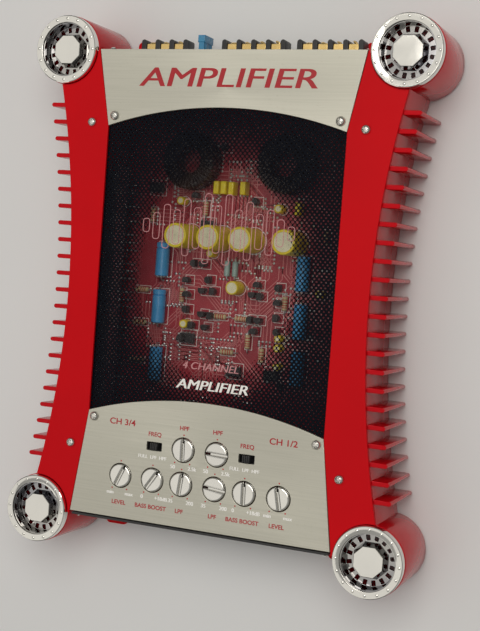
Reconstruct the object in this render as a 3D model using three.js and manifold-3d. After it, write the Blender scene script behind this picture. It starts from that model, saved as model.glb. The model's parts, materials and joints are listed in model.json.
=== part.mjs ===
// Four-channel car audio amplifier, lying flat on its mounting ears.
// Millimetres.  +Z points out of the top face, +Y towards the power and speaker terminals,
// +X to the right with the terminals at the far end.  The origin is on the surface that the
// amplifier is screwed to, below the middle of the case.

import * as THREE from "three";
import { mergeVertices } from "three/addons/utils/BufferGeometryUtils.js";
import Module from "manifold-3d";

const wasm = await Module();
wasm.setup();

// ---------------------------------------------------------------- driving dimensions

const FIT = 0.3;                    // clearance between pieces that touch
const DECK = 52;                    // height of the top plates' faces
const SHEET = 1.9;                  // thickness of the top plates and side covers
const FLOOR_SHEET = 2;              // thickness of the bottom plate
const PANEL = 1.5;                  // thickness of the black end panels

const TUBE_X = 113.5;               // axes of the four corner tubes
const TUBE_Y = 150;
const TUBE_RADIUS = 22.2;
const TUBE_BORE = 17;

const WAIST = 101.5;                // half width of the case at its waist
const FLANK_RADIUS = 568;           // curve of the hollow flanks
const FIN_COUNT = 22;
const FIN_PITCH = 10.92;
const FIN_REACH = 10.9;             // how far a fin stands out of the flank
const FIN_THICKNESS = 2.8;
const SINK_INNER = 88;              // inner face of each heatsink

const WINDOW_HALF = 80;             // half width of the open field between the side covers
const PLATE_END_HALF = 89.4;        // half width of the silver plates at the case's ends
const TERMINAL_PLATE = { corner: 102, end: 150.6 };
const CONTROL_PLATE = { corner: -81.1, end: -148 };
const ARC_RISE = 12.8;              // rise of both plate arcs over the window's width

const PANEL_OUTER = 150.5;          // outer faces of the end panels
const COVER_SCREW = { x: 91.8, y: 103.8 };
const PLATE_SCREW_X = 75.8;
const PLATE_SCREW_Y = [108.3, -84.9];

const KNOB_X = [11.4, 31.5, 54.2];  // lower row, both sides of the middle
const KNOB_ROW = -120.8;
const UPPER_KNOB_ROW = -99.2;
const KNOB_RADIUS = 7.4;
const KNOB_HOLE = 8;
const SWITCH = { x: 31.6, y: -99.3, length: 10.6, width: 5.4 };

const TERMINAL_PITCH = 10;

// heights worked out from the ones above
const COVER_BOTTOM = DECK - SHEET;
const SINK_TOP = COVER_BOTTOM - FIT;
const SINK_BOTTOM = FLOOR_SHEET + FIT;
const WINDOW_THICKNESS = 3;
const WINDOW_BOTTOM = SINK_TOP - WINDOW_THICKNESS;
const BOARD = 1.6;                  // thickness of both circuit boards
const MAIN_BOARD_BOTTOM = 12;
const MAIN_BOARD_TOP = MAIN_BOARD_BOTTOM + BOARD;
const CONTROL_BOARD_BOTTOM = 36;
const CONTROL_BOARD_TOP = CONTROL_BOARD_BOTTOM + BOARD;

// ---------------------------------------------------------------- finishes

const finish = (color, roughness, metalness) => ({ color, roughness, metalness });
const RED_PAINT = finish(0xb8101a, 0.25, 0.1);
const SILVER = finish(0xc8c4b6, 0.38, 0.85);
const CHROME = finish(0xe4e2dc, 0.1, 1);
const SMOKED = finish(0x10141c, 0.08, 0);
const BLACK_STEEL = finish(0x121212, 0.5, 0.3);
const BLACK_PLASTIC = finish(0x191a1c, 0.45, 0);
const RED_BOARD = finish(0x7c1420, 0.5, 0);
const FUSE_BLUE = finish(0x2f78a8, 0.3, 0);
const GOLD = finish(0xd8b860, 0.25, 1);
const COPPER = finish(0x5a3a24, 0.5, 0.4);
const YELLOW = finish(0xd8c020, 0.4, 0);
const ALUMINIUM = finish(0xa8aaac, 0.4, 0.9);
const STEEL = finish(0xbfbdb6, 0.3, 1);

const amplifier = new THREE.Group();

function place(name, geometry, look, x = 0, y = 0, z = 0, turn = 0) {
  const mesh = new THREE.Mesh(geometry, new THREE.MeshStandardMaterial(look));
  mesh.name = name;
  mesh.position.set(x, y, z);
  mesh.rotation.z = turn;
  amplifier.add(mesh);
}

// ---------------------------------------------------------------- shape helpers

// a solid for joining and cutting, from a closed geometry
function solid(geometry) {
  const bare = geometry.clone();
  bare.deleteAttribute("normal");
  bare.deleteAttribute("uv");
  const merged = mergeVertices(bare, 1e-4);
  return new wasm.Manifold(new wasm.Mesh({
    numProp: 3,
    vertProperties: new Float32Array(merged.attributes.position.array),
    triVerts: new Uint32Array(merged.index.array),
  }));
}

// the geometry of a joined or cut solid
function geometryOf(body) {
  const mesh = body.getMesh();
  const geometry = new THREE.BufferGeometry();
  geometry.setAttribute("position", new THREE.BufferAttribute(new Float32Array(mesh.vertProperties), 3));
  geometry.setIndex(new THREE.BufferAttribute(new Uint32Array(mesh.triVerts), 1));
  geometry.computeVertexNormals();
  return geometry;
}

const join = (first, ...others) => others.reduce((sum, next) => sum.add(next), first);
const cut = (first, ...others) => others.reduce((rest, next) => rest.subtract(next), first);

// an outline in the XY plane, raised from one height to another
function slab(shape, bottom, top, curveSegments = 6) {
  const settings = { depth: top - bottom, bevelEnabled: false, curveSegments };
  const geometry = new THREE.ExtrudeGeometry(shape, settings);
  return geometry.translate(0, 0, bottom);
}

function block(xLow, xHigh, yLow, yHigh, zLow, zHigh) {
  const geometry = new THREE.BoxGeometry(xHigh - xLow, yHigh - yLow, zHigh - zLow);
  return geometry.translate((xLow + xHigh) / 2, (yLow + yHigh) / 2, (zLow + zHigh) / 2);
}

function upright(x, y, radius, zLow, zHigh, segments = 12) {
  const geometry = new THREE.CylinderGeometry(radius, radius, zHigh - zLow, segments);
  return geometry.rotateX(Math.PI / 2).translate(x, y, (zLow + zHigh) / 2);
}

function lengthwise(x, z, radius, yLow, yHigh, segments = 12) {
  const geometry = new THREE.CylinderGeometry(radius, radius, yHigh - yLow, segments);
  return geometry.translate(x, (yLow + yHigh) / 2, z);
}

// a turned solid about Z, from its radius and height pairs, bottom of the axis to top
function turned(profile, segments) {
  const points = profile.map(([radius, height]) => new THREE.Vector2(radius, height));
  return new THREE.LatheGeometry(points, segments).rotateX(Math.PI / 2);
}

function rectangle(xLow, xHigh, yLow, yHigh) {
  const shape = new THREE.Shape();
  shape.moveTo(xLow, yLow);
  shape.lineTo(xHigh, yLow);
  shape.lineTo(xHigh, yHigh);
  shape.lineTo(xLow, yHigh);
  shape.closePath();
  return shape;
}

// an arc as straight steps, for outlines whose arcs need different fineness
function sweep(shape, x, y, radius, from, to, steps) {
  for (let step = 0; step <= steps; step += 1) {
    const angle = from + (to - from) * step / steps;
    shape.lineTo(x + radius * Math.cos(angle), y + radius * Math.sin(angle));
  }
}

function roundHole(shape, x, y, radius) {
  const hole = new THREE.Path();
  hole.absarc(x, y, radius, 0, 2 * Math.PI, true);
  shape.holes.push(hole);
}

function squareHole(shape, xLow, xHigh, yLow, yHigh) {
  const hole = new THREE.Path();
  hole.moveTo(xLow, yLow);
  hole.lineTo(xLow, yHigh);
  hole.lineTo(xHigh, yHigh);
  hole.lineTo(xHigh, yLow);
  hole.closePath();
  shape.holes.push(hole);
}

// half width of the hollow flank at a place along the case
const flank = (y) => WAIST + FLANK_RADIUS - Math.sqrt(FLANK_RADIUS ** 2 - y ** 2);

// ---------------------------------------------------------------- heatsinks

const FLANK_MEETS_TUBE = 127.95;    // where the flank runs into the tube
const RIB = { inner: 80, low: 140, high: 148.5 };
const POCKET_WALL = 3.8;
const POCKETS = { count: 7, pitch: 28, endLow: 109, endHigh: 125 };
const SCREW_CHANNEL = 1.7;
const TUBE_STEPS = 34;

// one fin, from its root up round its tip and back to the flank
function addFin(shape, y) {
  const half = FIN_THICKNESS / 2;
  const tipCentre = flank(y) + FIN_REACH - half;
  shape.lineTo(flank(y - half), y - half);
  sweep(shape, tipCentre, y, half, -Math.PI / 2, Math.PI / 2, 4);
  shape.lineTo(flank(y + half), y + half);
}

function tubeAngle(x, y) {
  return Math.atan2(y - TUBE_Y, x - TUBE_X);
}

// the right-hand extrusion: hollow base, fins and the two corner tubes
function heatsinkShape() {
  const meets = tubeAngle(flank(FLANK_MEETS_TUBE), FLANK_MEETS_TUBE);
  const ribTop = Math.PI + Math.asin((TUBE_Y - RIB.high) / TUBE_RADIUS);
  const shape = new THREE.Shape();
  shape.moveTo(SINK_INNER, RIB.low);
  shape.lineTo(SINK_INNER, -RIB.low);
  shape.lineTo(RIB.inner, -RIB.low);
  shape.lineTo(RIB.inner, -RIB.high);
  sweep(shape, TUBE_X, -TUBE_Y, TUBE_RADIUS, -ribTop, -meets, TUBE_STEPS);
  for (let fin = 0; fin < FIN_COUNT; fin += 1) {
    addFin(shape, (fin - (FIN_COUNT - 1) / 2) * FIN_PITCH);
  }
  sweep(shape, TUBE_X, TUBE_Y, TUBE_RADIUS, meets, ribTop, TUBE_STEPS);
  shape.lineTo(RIB.inner, RIB.high);
  shape.lineTo(RIB.inner, RIB.low);
  shape.closePath();
  return shape;
}

// the hollow runs through the extrusion, with walls between them
function addPockets(shape) {
  const inner = SINK_INNER + POCKET_WALL;
  const { count, pitch, endLow, endHigh } = POCKETS;
  const bands = [[-endHigh, -endLow], [endLow, endHigh]];
  for (let pocket = 0; pocket < count; pocket += 1) {
    const middle = (pocket - (count - 1) / 2) * pitch;
    bands.push([middle - pitch / 2 + POCKET_WALL / 2, middle + pitch / 2 - POCKET_WALL / 2]);
  }
  for (const [low, high] of bands) {
    const nearest = Math.min(Math.abs(low), Math.abs(high));
    const outer = flank(low * high < 0 ? 0 : nearest) - POCKET_WALL;
    squareHole(shape, inner, outer, low, high);
  }
}

function makeHeatsinks() {
  const shape = heatsinkShape();
  addPockets(shape);
  let body = solid(slab(shape, SINK_BOTTOM, SINK_TOP, 16));
  for (const side of [-1, 1]) {
    body = cut(
      body,
      solid(upright(TUBE_X, side * TUBE_Y, TUBE_BORE, 0, DECK, 32)),
      solid(upright(COVER_SCREW.x, side * COVER_SCREW.y, SCREW_CHANNEL, 0, DECK, 10)),
    );
  }
  const geometry = geometryOf(body);
  place("right_heatsink", geometry, RED_PAINT);
  place("left_heatsink", geometry, RED_PAINT, 0, 0, 0, Math.PI);
}

// ---------------------------------------------------------------- side covers

// one cover, from its inner edge against the plates to the flank; upper and lower give how far
// out the straight inner edge and the silver plate reach at its +Y and -Y ends
function makeSideCover(name, upper, lower, turn) {
  const inner = WINDOW_HALF + FIT / 2;
  const endInner = PLATE_END_HALF + FIT;
  const end = TUBE_Y + FIT;
  const insideTube = TUBE_X - TUBE_RADIUS / 2;
  const flankEnd = Math.asin(FLANK_MEETS_TUBE / FLANK_RADIUS);
  const shape = new THREE.Shape();
  shape.moveTo(inner, -lower.corner);
  shape.lineTo(endInner, -lower.end);
  shape.lineTo(endInner, -end);
  shape.lineTo(insideTube, -end);
  sweep(shape, WAIST + FLANK_RADIUS, 0, FLANK_RADIUS, Math.PI + flankEnd, Math.PI - flankEnd, 20);
  shape.lineTo(insideTube, end);
  shape.lineTo(endInner, end);
  shape.lineTo(endInner, upper.end);
  shape.lineTo(inner, upper.corner);
  shape.closePath();
  roundHole(shape, COVER_SCREW.x, COVER_SCREW.y, SCREW_CHANNEL);
  roundHole(shape, COVER_SCREW.x, -COVER_SCREW.y, SCREW_CHANNEL);
  const cover = cut(
    solid(slab(shape, COVER_BOTTOM, DECK, 10)),
    solid(upright(TUBE_X, TUBE_Y, TUBE_RADIUS, 0, DECK + 1, 40)),
    solid(upright(TUBE_X, -TUBE_Y, TUBE_RADIUS, 0, DECK + 1, 40)),
  );
  place(name, geometryOf(cover), RED_PAINT, 0, 0, 0, turn);
}

function makeSideCovers() {
  const terminalSide = { corner: TERMINAL_PLATE.corner, end: TERMINAL_PLATE.end - FIT };
  const controlSide = { corner: -CONTROL_PLATE.corner, end: -CONTROL_PLATE.end };
  makeSideCover("right_side_cover", terminalSide, controlSide, 0);
  makeSideCover("left_side_cover", controlSide, terminalSide, Math.PI);
}

// ---------------------------------------------------------------- silver plates and window

const ARC_RADIUS = (WINDOW_HALF ** 2 + ARC_RISE ** 2) / (2 * ARC_RISE);
const ARC_HALF_ANGLE = Math.acos(WINDOW_HALF / ARC_RADIUS);
const PLATE_SCREW_HOLE = 1.7;
const CORNER_INSET = FIT / 2;

function plateScrewHoles(shape, y) {
  roundHole(shape, PLATE_SCREW_X, y, PLATE_SCREW_HOLE);
  roundHole(shape, -PLATE_SCREW_X, y, PLATE_SCREW_HOLE);
}

function makeTerminalPlate() {
  const { corner, end } = TERMINAL_PLATE;
  const arcCentre = corner + ARC_RISE - ARC_RADIUS;
  const shape = new THREE.Shape();
  shape.absarc(0, arcCentre, ARC_RADIUS, Math.PI - ARC_HALF_ANGLE, ARC_HALF_ANGLE, true);
  shape.lineTo(PLATE_END_HALF - CORNER_INSET, end);
  shape.lineTo(-PLATE_END_HALF + CORNER_INSET, end);
  shape.closePath();
  plateScrewHoles(shape, PLATE_SCREW_Y[0]);
  place("terminal_plate", slab(shape, COVER_BOTTOM, DECK, 12), SILVER);
}

function makeControlPlate() {
  const { corner, end } = CONTROL_PLATE;
  const arcCentre = corner + ARC_RISE - ARC_RADIUS;
  const shape = new THREE.Shape();
  shape.moveTo(-PLATE_END_HALF + CORNER_INSET, end);
  shape.lineTo(PLATE_END_HALF - CORNER_INSET, end);
  shape.absarc(0, arcCentre, ARC_RADIUS, ARC_HALF_ANGLE, Math.PI - ARC_HALF_ANGLE, false);
  shape.closePath();
  plateScrewHoles(shape, PLATE_SCREW_Y[1]);
  for (const { x, y } of knobPlaces()) {
    roundHole(shape, x, y, KNOB_HOLE);
  }
  for (const side of [-1, 1]) {
    const middle = side * SWITCH.x;
    squareHole(shape, middle - SWITCH.length / 2, middle + SWITCH.length / 2,
      SWITCH.y - SWITCH.width / 2, SWITCH.y + SWITCH.width / 2);
  }
  place("control_plate", slab(shape, COVER_BOTTOM, DECK, 10), SILVER);
}

const WINDOW_SHEET = { half: 84.5, low: -89.5, high: 118.5 };

function makeWindow() {
  const { half, low, high } = WINDOW_SHEET;
  const shape = rectangle(-half, half, low, high);
  PLATE_SCREW_Y.forEach((y) => plateScrewHoles(shape, y));
  place("window", slab(shape, WINDOW_BOTTOM, SINK_TOP), SMOKED);
}

// ---------------------------------------------------------------- corner caps

const CAP = { flange: 21.8, face: 20.5, recess: 17.3, floorRadius: 15.7, plug: 16.7, proud: 3.5, edge: 1.6 };
const CAP_FLOOR = { top: 46.5, thickness: 1.6 };
const CAP_HUB = { top: 52.9, across: 18.2, baseAcross: 22, sides: 8 };
const CAP_SLOTS = { count: 16, inner: 12, outer: 15.4, width: 2.4 };

// a wheel-like cap: flat ring, dished floor with slots, eight-sided hub
function makeCaps() {
  const faceHeight = DECK + CAP.proud;
  const turnedCap = turned([
    [0, CAP_FLOOR.top - CAP_FLOOR.thickness],
    [CAP.plug, CAP_FLOOR.top - CAP_FLOOR.thickness],
    [CAP.plug, COVER_BOTTOM],
    [CAP.flange, COVER_BOTTOM],
    [CAP.flange, faceHeight - 2 * CAP.edge],
    [CAP.flange - 0.4, faceHeight - 0.7 * CAP.edge],
    [CAP.face, faceHeight],
    [CAP.recess, faceHeight],
    [CAP.floorRadius, CAP_FLOOR.top],
    [0, CAP_FLOOR.top],
  ], 32);
  const sunk = CAP_FLOOR.thickness / 2;
  const hubHeight = CAP_HUB.top - CAP_FLOOR.top + sunk;
  const { across, baseAcross, sides } = CAP_HUB;
  const toCorner = 1 / (2 * Math.cos(Math.PI / sides));
  const hub = new THREE.CylinderGeometry(across * toCorner, baseAcross * toCorner, hubHeight, sides);
  hub.rotateX(Math.PI / 2).rotateZ(Math.PI / sides).translate(0, 0, CAP_HUB.top - hubHeight / 2);
  let cap = join(solid(turnedCap), solid(hub));
  for (let slot = 0; slot < CAP_SLOTS.count; slot += 1) {
    const half = CAP_SLOTS.width / 2;
    const through = [CAP_FLOOR.top - 2 * CAP_FLOOR.thickness, CAP_FLOOR.top + CAP_FLOOR.thickness];
    const opening = block(CAP_SLOTS.inner, CAP_SLOTS.outer, -half, half, ...through);
    cap = cut(cap, solid(opening.rotateZ((slot + 0.5) * 2 * Math.PI / CAP_SLOTS.count)));
  }
  const geometry = geometryOf(cap);
  place("cap_left_terminal", geometry, CHROME, -TUBE_X, TUBE_Y);
  place("cap_right_terminal", geometry, CHROME, TUBE_X, TUBE_Y);
  place("cap_left_control", geometry, CHROME, -TUBE_X, -TUBE_Y);
  place("cap_right_control", geometry, CHROME, TUBE_X, -TUBE_Y);
}

// ---------------------------------------------------------------- bottom plate

const EAR = { x: 80.5, half: 8, end: 164.1, corner: 3, holeY: 156.6, hole: 2.7 };
const CONTROL_PILLAR = { x: 64.5, y: -108, radius: 3, room: 0.6 };
const BOARD_PILLAR = { x: 60, y: [136, -130], radius: 3.2 };
const PLATE_PILLAR = { radius: 3.6, room: 0.6, threadStart: 30 };

// a quarter of the outline, from the waist round the ear to the middle of the case's end
function quarterOutline(flipX, flipY) {
  const taper = { waist: 98, from: 120, to: 135, endHalf: 90.4 };
  const { x, half, end, corner } = EAR;
  const clipped = 0.3 * corner;
  return [
    [taper.waist, taper.from], [taper.endHalf, taper.to], [taper.endHalf, PANEL_OUTER],
    [x + half, PANEL_OUTER], [x + half, end - corner], [x + half - clipped, end - clipped],
    [x + half - corner, end], [x - half + corner, end], [x - half + clipped, end - clipped],
    [x - half, end - corner], [x - half, PANEL_OUTER],
  ].map(([px, py]) => new THREE.Vector2(flipX * px, flipY * py));
}

function makeBottomPlate() {
  const shape = new THREE.Shape([
    ...quarterOutline(1, 1),
    ...quarterOutline(-1, 1).reverse(),
    ...quarterOutline(-1, -1),
    ...quarterOutline(1, -1).reverse(),
  ]);
  for (const x of [-EAR.x, EAR.x]) {
    roundHole(shape, x, EAR.holeY, EAR.hole);
    roundHole(shape, x, -EAR.holeY, EAR.hole);
  }
  let plate = solid(slab(shape, 0, FLOOR_SHEET, 7));
  const pillar = (x, y, radius, top) => {
    plate = join(plate, solid(upright(x, y, radius, FLOOR_SHEET / 2, top, 12)));
  };
  for (const side of [-1, 1]) {
    PLATE_SCREW_Y.forEach((y) => pillar(side * PLATE_SCREW_X, y, PLATE_PILLAR.radius, WINDOW_BOTTOM - FIT));
    pillar(side * CONTROL_PILLAR.x, CONTROL_PILLAR.y, CONTROL_PILLAR.radius, CONTROL_BOARD_BOTTOM - FIT);
    for (const y of BOARD_PILLAR.y) {
      pillar(side * BOARD_PILLAR.x, y, BOARD_PILLAR.radius, MAIN_BOARD_BOTTOM - FIT);
    }
    for (const y of PLATE_SCREW_Y) {
      const thread = upright(side * PLATE_SCREW_X, y, PLATE_SCREW_HOLE, PLATE_PILLAR.threadStart, DECK, 10);
      plate = cut(plate, solid(thread));
    }
  }
  place("bottom_plate", geometryOf(plate), RED_PAINT);
}

// ---------------------------------------------------------------- terminals and fuse

const BLOCK = { low: MAIN_BOARD_TOP + FIT, high: 24.6, back: 139, face: 152, reach: 161.9, barrier: 3.4 };
const BLOCKS = [
  { name: "power_terminal_block", x: -57.8, poles: 3 },
  { name: "left_speaker_block", x: 4.7, poles: 4 },
  { name: "right_speaker_block", x: 55.9, poles: 4 },
];
const FUSE = { x: -29.3, half: 2.4, low: 15.6, high: 29.6, back: 144, end: 163.8 };
const FUSE_BLADE = { length: 4, half: 0.4, width: 4.6, inset: 0.5, room: 0.4 };
const HOLDER = { half: 4.6, low: MAIN_BOARD_TOP + FIT, high: 31.6, back: 137.5, face: 151.4 };

const blockHalf = (poles) => (poles * TERMINAL_PITCH + BLOCK.barrier) / 2;

// the outline from above: a back bar with a barrier on each side of every pole
function makeTerminalBlock({ name, x, poles }) {
  const half = blockHalf(poles);
  const corner = 0.8;
  const shape = new THREE.Shape();
  shape.moveTo(x - half, BLOCK.back);
  shape.lineTo(x + half, BLOCK.back);
  for (let barrier = poles; barrier >= 0; barrier -= 1) {
    const left = x - half + barrier * TERMINAL_PITCH;
    const right = left + BLOCK.barrier;
    shape.lineTo(right, BLOCK.face);
    shape.lineTo(right, BLOCK.reach - corner);
    shape.lineTo(right - corner, BLOCK.reach);
    shape.lineTo(left + corner, BLOCK.reach);
    shape.lineTo(left, BLOCK.reach - corner);
    shape.lineTo(left, BLOCK.face);
  }
  shape.closePath();
  place(name, slab(shape, BLOCK.low, BLOCK.high), BLACK_PLASTIC);
}

function makeFuseAndHolder() {
  const { x, half, low, high, back, end } = FUSE;
  const { length, half: bladeHalf, width, inset, room } = FUSE_BLADE;
  const slotHalf = bladeHalf + room;
  const holder = cut(
    solid(block(x - HOLDER.half, x + HOLDER.half, HOLDER.back, HOLDER.face, HOLDER.low, HOLDER.high)),
    solid(block(x - half - room, x + half + room, back - room, HOLDER.face + 1, low - room, high + room)),
    solid(block(x - slotHalf, x + slotHalf, back - length - room, back, low - room, high + room)),
  );
  place("fuse_holder", geometryOf(holder), BLACK_PLASTIC);
  const blade = (bottom) => {
    return solid(block(x - bladeHalf, x + bladeHalf, back - length, back + 1, bottom, bottom + width));
  };
  const fuse = join(
    solid(block(x - half, x + half, back, end, low, high)),
    blade(low + inset),
    blade(high - inset - width),
  );
  place("blade_fuse", geometryOf(fuse), FUSE_BLUE);
}

// ---------------------------------------------------------------- sockets at the control end

const JACK = { x: 30, half: 14, back: -136, top: 26.4 };
const BARREL = { spread: 7, z: 20, radius: 4.15, bore: 1.7, reach: -157 };
const PORT = { half: 6.5, high: 27, back: -136, face: -150.9 };
const PORT_MOUTH = { half: 4.9, low: 16.4, high: 24.4, depth: 9 };

function makeJackBlock(name, side) {
  const front = -PANEL_OUTER + PANEL + FIT;
  const x = side * JACK.x;
  let jacks = solid(block(x - JACK.half, x + JACK.half, front, JACK.back, MAIN_BOARD_TOP + FIT, JACK.top));
  const { spread, z, radius, bore, reach } = BARREL;
  for (const offset of [-spread, spread]) {
    jacks = join(jacks, solid(lengthwise(x + offset, z, radius, reach, front + 1, 16)));
    jacks = cut(jacks, solid(lengthwise(x + offset, z, bore, reach - 1, front - 1, 8)));
  }
  place(name, geometryOf(jacks), GOLD);
}

function makeRemotePort() {
  const { half, high, back, face } = PORT;
  const mouth = PORT_MOUTH;
  const port = cut(
    solid(block(-half, half, face, back, MAIN_BOARD_TOP + FIT, high)),
    solid(block(-mouth.half, mouth.half, face - 1, face + mouth.depth, mouth.low, mouth.high)),
  );
  place("remote_level_port", geometryOf(port), BLACK_PLASTIC);
}

// ---------------------------------------------------------------- end panels

const PANEL_HALF = 88.3;
const CONTROL_PANEL_TOP = 51;
const BARREL_ROOM = 0.4;

function makeTerminalEndPanel() {
  const opening = (x, half, low, high) => {
    return solid(block(x - half, x + half, PANEL_OUTER - 2 * PANEL, PANEL_OUTER + PANEL, low, high));
  };
  const panel = cut(
    solid(block(-PANEL_HALF, PANEL_HALF, PANEL_OUTER - PANEL, PANEL_OUTER, SINK_BOTTOM, SINK_TOP)),
    ...BLOCKS.map(({ x, poles }) => opening(x, blockHalf(poles) + FIT, BLOCK.low - FIT, BLOCK.high + FIT)),
    opening(FUSE.x, HOLDER.half + FIT, HOLDER.low - FIT, HOLDER.high + FIT),
  );
  place("terminal_end_panel", geometryOf(panel), BLACK_STEEL);
}

function makeControlEndPanel() {
  const [low, high] = [-PANEL_OUTER - PANEL, -PANEL_OUTER + 2 * PANEL];
  const portHalf = PORT.half + FIT;
  const inside = -PANEL_OUTER + PANEL;
  let panel = cut(
    solid(block(-PANEL_HALF, PANEL_HALF, -PANEL_OUTER, inside, SINK_BOTTOM, CONTROL_PANEL_TOP)),
    solid(block(-portHalf, portHalf, low, high, MAIN_BOARD_TOP, PORT.high + FIT)),
  );
  for (const middle of [-JACK.x, JACK.x]) {
    for (const offset of [-BARREL.spread, BARREL.spread]) {
      const hole = lengthwise(middle + offset, BARREL.z, BARREL.radius + BARREL_ROOM, low, high, 16);
      panel = cut(panel, solid(hole));
    }
  }
  place("control_end_panel", geometryOf(panel), BLACK_STEEL);
}

// ---------------------------------------------------------------- circuit boards and their parts

const MAIN_BOARD = { half: 78, low: -147, high: 147 };
const CONTROL_BOARD = { half: 70, low: -146, high: -91 };
const TOROID = { x: 33, y: 84, outer: 19, inner: 8, top: 30, bevel: 2.5 };
const CAPACITORS = { x: [-33.9, -11.4, 10.6, 40], y: 35, radius: 8, height: 25 };
const CLAMP = { low: 79.6, high: 82.6, reach: 78, bottom: 20, top: 34 };

function makeBoards() {
  const { half, low, high } = MAIN_BOARD;
  let board = solid(slab(rectangle(-half, half, low, high), MAIN_BOARD_BOTTOM, MAIN_BOARD_TOP));
  for (const side of [-1, 1]) {
    PLATE_SCREW_Y.forEach((y) => {
      const notch = upright(side * PLATE_SCREW_X, y, PLATE_PILLAR.radius + PLATE_PILLAR.room, 0, DECK, 12);
      board = cut(board, solid(notch));
    });
    const { x, y, radius, room } = CONTROL_PILLAR;
    board = cut(board, solid(upright(side * x, y, radius + room, 0, DECK, 12)));
  }
  place("main_board", geometryOf(board), RED_BOARD);
  const control = rectangle(-CONTROL_BOARD.half, CONTROL_BOARD.half, CONTROL_BOARD.low, CONTROL_BOARD.high);
  place("control_board", slab(control, CONTROL_BOARD_BOTTOM, CONTROL_BOARD_TOP), RED_BOARD);
}

function makeToroids() {
  const bottom = MAIN_BOARD_TOP + FIT;
  const { outer, inner, top, bevel } = TOROID;
  const ring = turned([
    [inner, bottom + bevel],
    [inner + bevel, bottom],
    [outer - bevel, bottom],
    [outer, bottom + bevel],
    [outer, top - bevel],
    [outer - bevel, top],
    [inner + bevel, top],
    [inner, top - bevel],
    [inner, bottom + bevel],
  ], 18);
  place("left_toroid", ring, COPPER, -TOROID.x, TOROID.y);
  place("right_toroid", ring, COPPER, TOROID.x, TOROID.y);
}

function makeCapacitors() {
  const bottom = MAIN_BOARD_TOP + FIT;
  CAPACITORS.x.forEach((x, index) => {
    const can = upright(0, 0, CAPACITORS.radius, bottom, bottom + CAPACITORS.height, 18);
    place(`filter_capacitor_${index + 1}`, can, YELLOW, x, CAPACITORS.y);
  });
}

function makeClampBars() {
  const { low, high, reach, bottom, top } = CLAMP;
  place("right_clamp_bar", block(low, high, -reach, reach, bottom, top), ALUMINIUM);
  place("left_clamp_bar", block(-high, -low, -reach, reach, bottom, top), ALUMINIUM);
}

// ---------------------------------------------------------------- knobs and switches

const KNOB = { proud: 1, underside: 45.2, shaft: 3, shaftEnd: 40.4, bevel: 1.2, bevelDrop: 0.84 };
const KNOB_SLOT = { width: 1.5, depth: 1.6, notchDepth: 4, notchLength: 2 };
const POT = { half: 5, halfLength: 5.6, top: 44.6, bore: 3.4, boreEnd: 39.8 };

// where each knob is and how far its pointer is turned anticlockwise from twelve o'clock
function knobPlaces() {
  const [near, middle, far] = KNOB_X;
  return [
    { name: "rear_level", x: -far, y: KNOB_ROW, pointer: -24 },
    { name: "rear_bass", x: -middle, y: KNOB_ROW, pointer: -34 },
    { name: "rear_lowpass", x: -near, y: KNOB_ROW, pointer: -6 },
    { name: "front_lowpass", x: near, y: KNOB_ROW, pointer: 84 },
    { name: "front_bass", x: middle, y: KNOB_ROW, pointer: 2 },
    { name: "front_level", x: far, y: KNOB_ROW, pointer: 12 },
    { name: "rear_highpass", x: -near, y: UPPER_KNOB_ROW, pointer: 2 },
    { name: "front_highpass", x: near, y: UPPER_KNOB_ROW, pointer: 88 },
  ];
}

// a slotted knob on its shaft, with the deep notch of the pointer at +Y
function knobGeometry() {
  const face = DECK + KNOB.proud;
  const body = solid(turned([
    [0, KNOB.shaftEnd],
    [KNOB.shaft, KNOB.shaftEnd],
    [KNOB.shaft, KNOB.underside],
    [KNOB_RADIUS, KNOB.underside],
    [KNOB_RADIUS, face - KNOB.bevelDrop],
    [KNOB_RADIUS - KNOB.bevel, face],
    [0, face],
  ], 24));
  const { width, depth, notchDepth, notchLength } = KNOB_SLOT;
  const past = KNOB_RADIUS + 1;
  const slot = block(-width / 2, width / 2, -past, past, face - depth, face + 1);
  const notch = block(-width / 2, width / 2, KNOB_RADIUS - notchLength, past, face - notchDepth, face + 1);
  return geometryOf(cut(body, solid(slot), solid(notch)));
}

function potentiometerGeometry() {
  const low = CONTROL_BOARD_TOP + FIT;
  const body = solid(block(-POT.half, POT.half, -POT.halfLength, POT.halfLength, low, POT.top));
  return geometryOf(cut(body, solid(upright(0, 0, POT.bore, POT.boreEnd, DECK, 12))));
}

function makeKnobs() {
  const knob = knobGeometry();
  const potentiometer = potentiometerGeometry();
  for (const { name, x, y, pointer } of knobPlaces()) {
    place(`${name}_knob`, knob, CHROME, x, y, 0, pointer * Math.PI / 180);
    place(`${name}_potentiometer`, potentiometer, BLACK_PLASTIC, x, y);
  }
}

const SLIDER = { halfLength: 2.5, halfWidth: 2.2, low: 46.4, proud: 1.6 };
const SWITCH_BODY = { halfLength: 6.6, halfWidth: 4, channelFloor: 45.6, endRoom: 0.2 };

function makeSwitches() {
  const low = CONTROL_BOARD_TOP + FIT;
  const channelSide = SLIDER.halfWidth + FIT;
  const { halfLength, halfWidth, channelFloor, endRoom } = SWITCH_BODY;
  const channelHalf = SWITCH.length / 2 + endRoom;
  const body = geometryOf(cut(
    solid(block(-halfLength, halfLength, -halfWidth, halfWidth, low, SINK_TOP)),
    solid(block(-channelHalf, channelHalf, -channelSide, channelSide, channelFloor, DECK)),
  ));
  const slider = block(-SLIDER.halfLength, SLIDER.halfLength, -SLIDER.halfWidth, SLIDER.halfWidth,
    SLIDER.low, DECK + SLIDER.proud);
  for (const [name, side] of [["rear", -1], ["front", 1]]) {
    place(`${name}_filter_switch_body`, body, BLACK_PLASTIC, side * SWITCH.x, SWITCH.y);
    place(`${name}_filter_slider`, slider, BLACK_PLASTIC, side * SWITCH.x, SWITCH.y);
  }
}

// ---------------------------------------------------------------- top screws

const SCREW = { end: 38, shank: 1.3, head: 3, headHeight: 2.1 };

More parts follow.
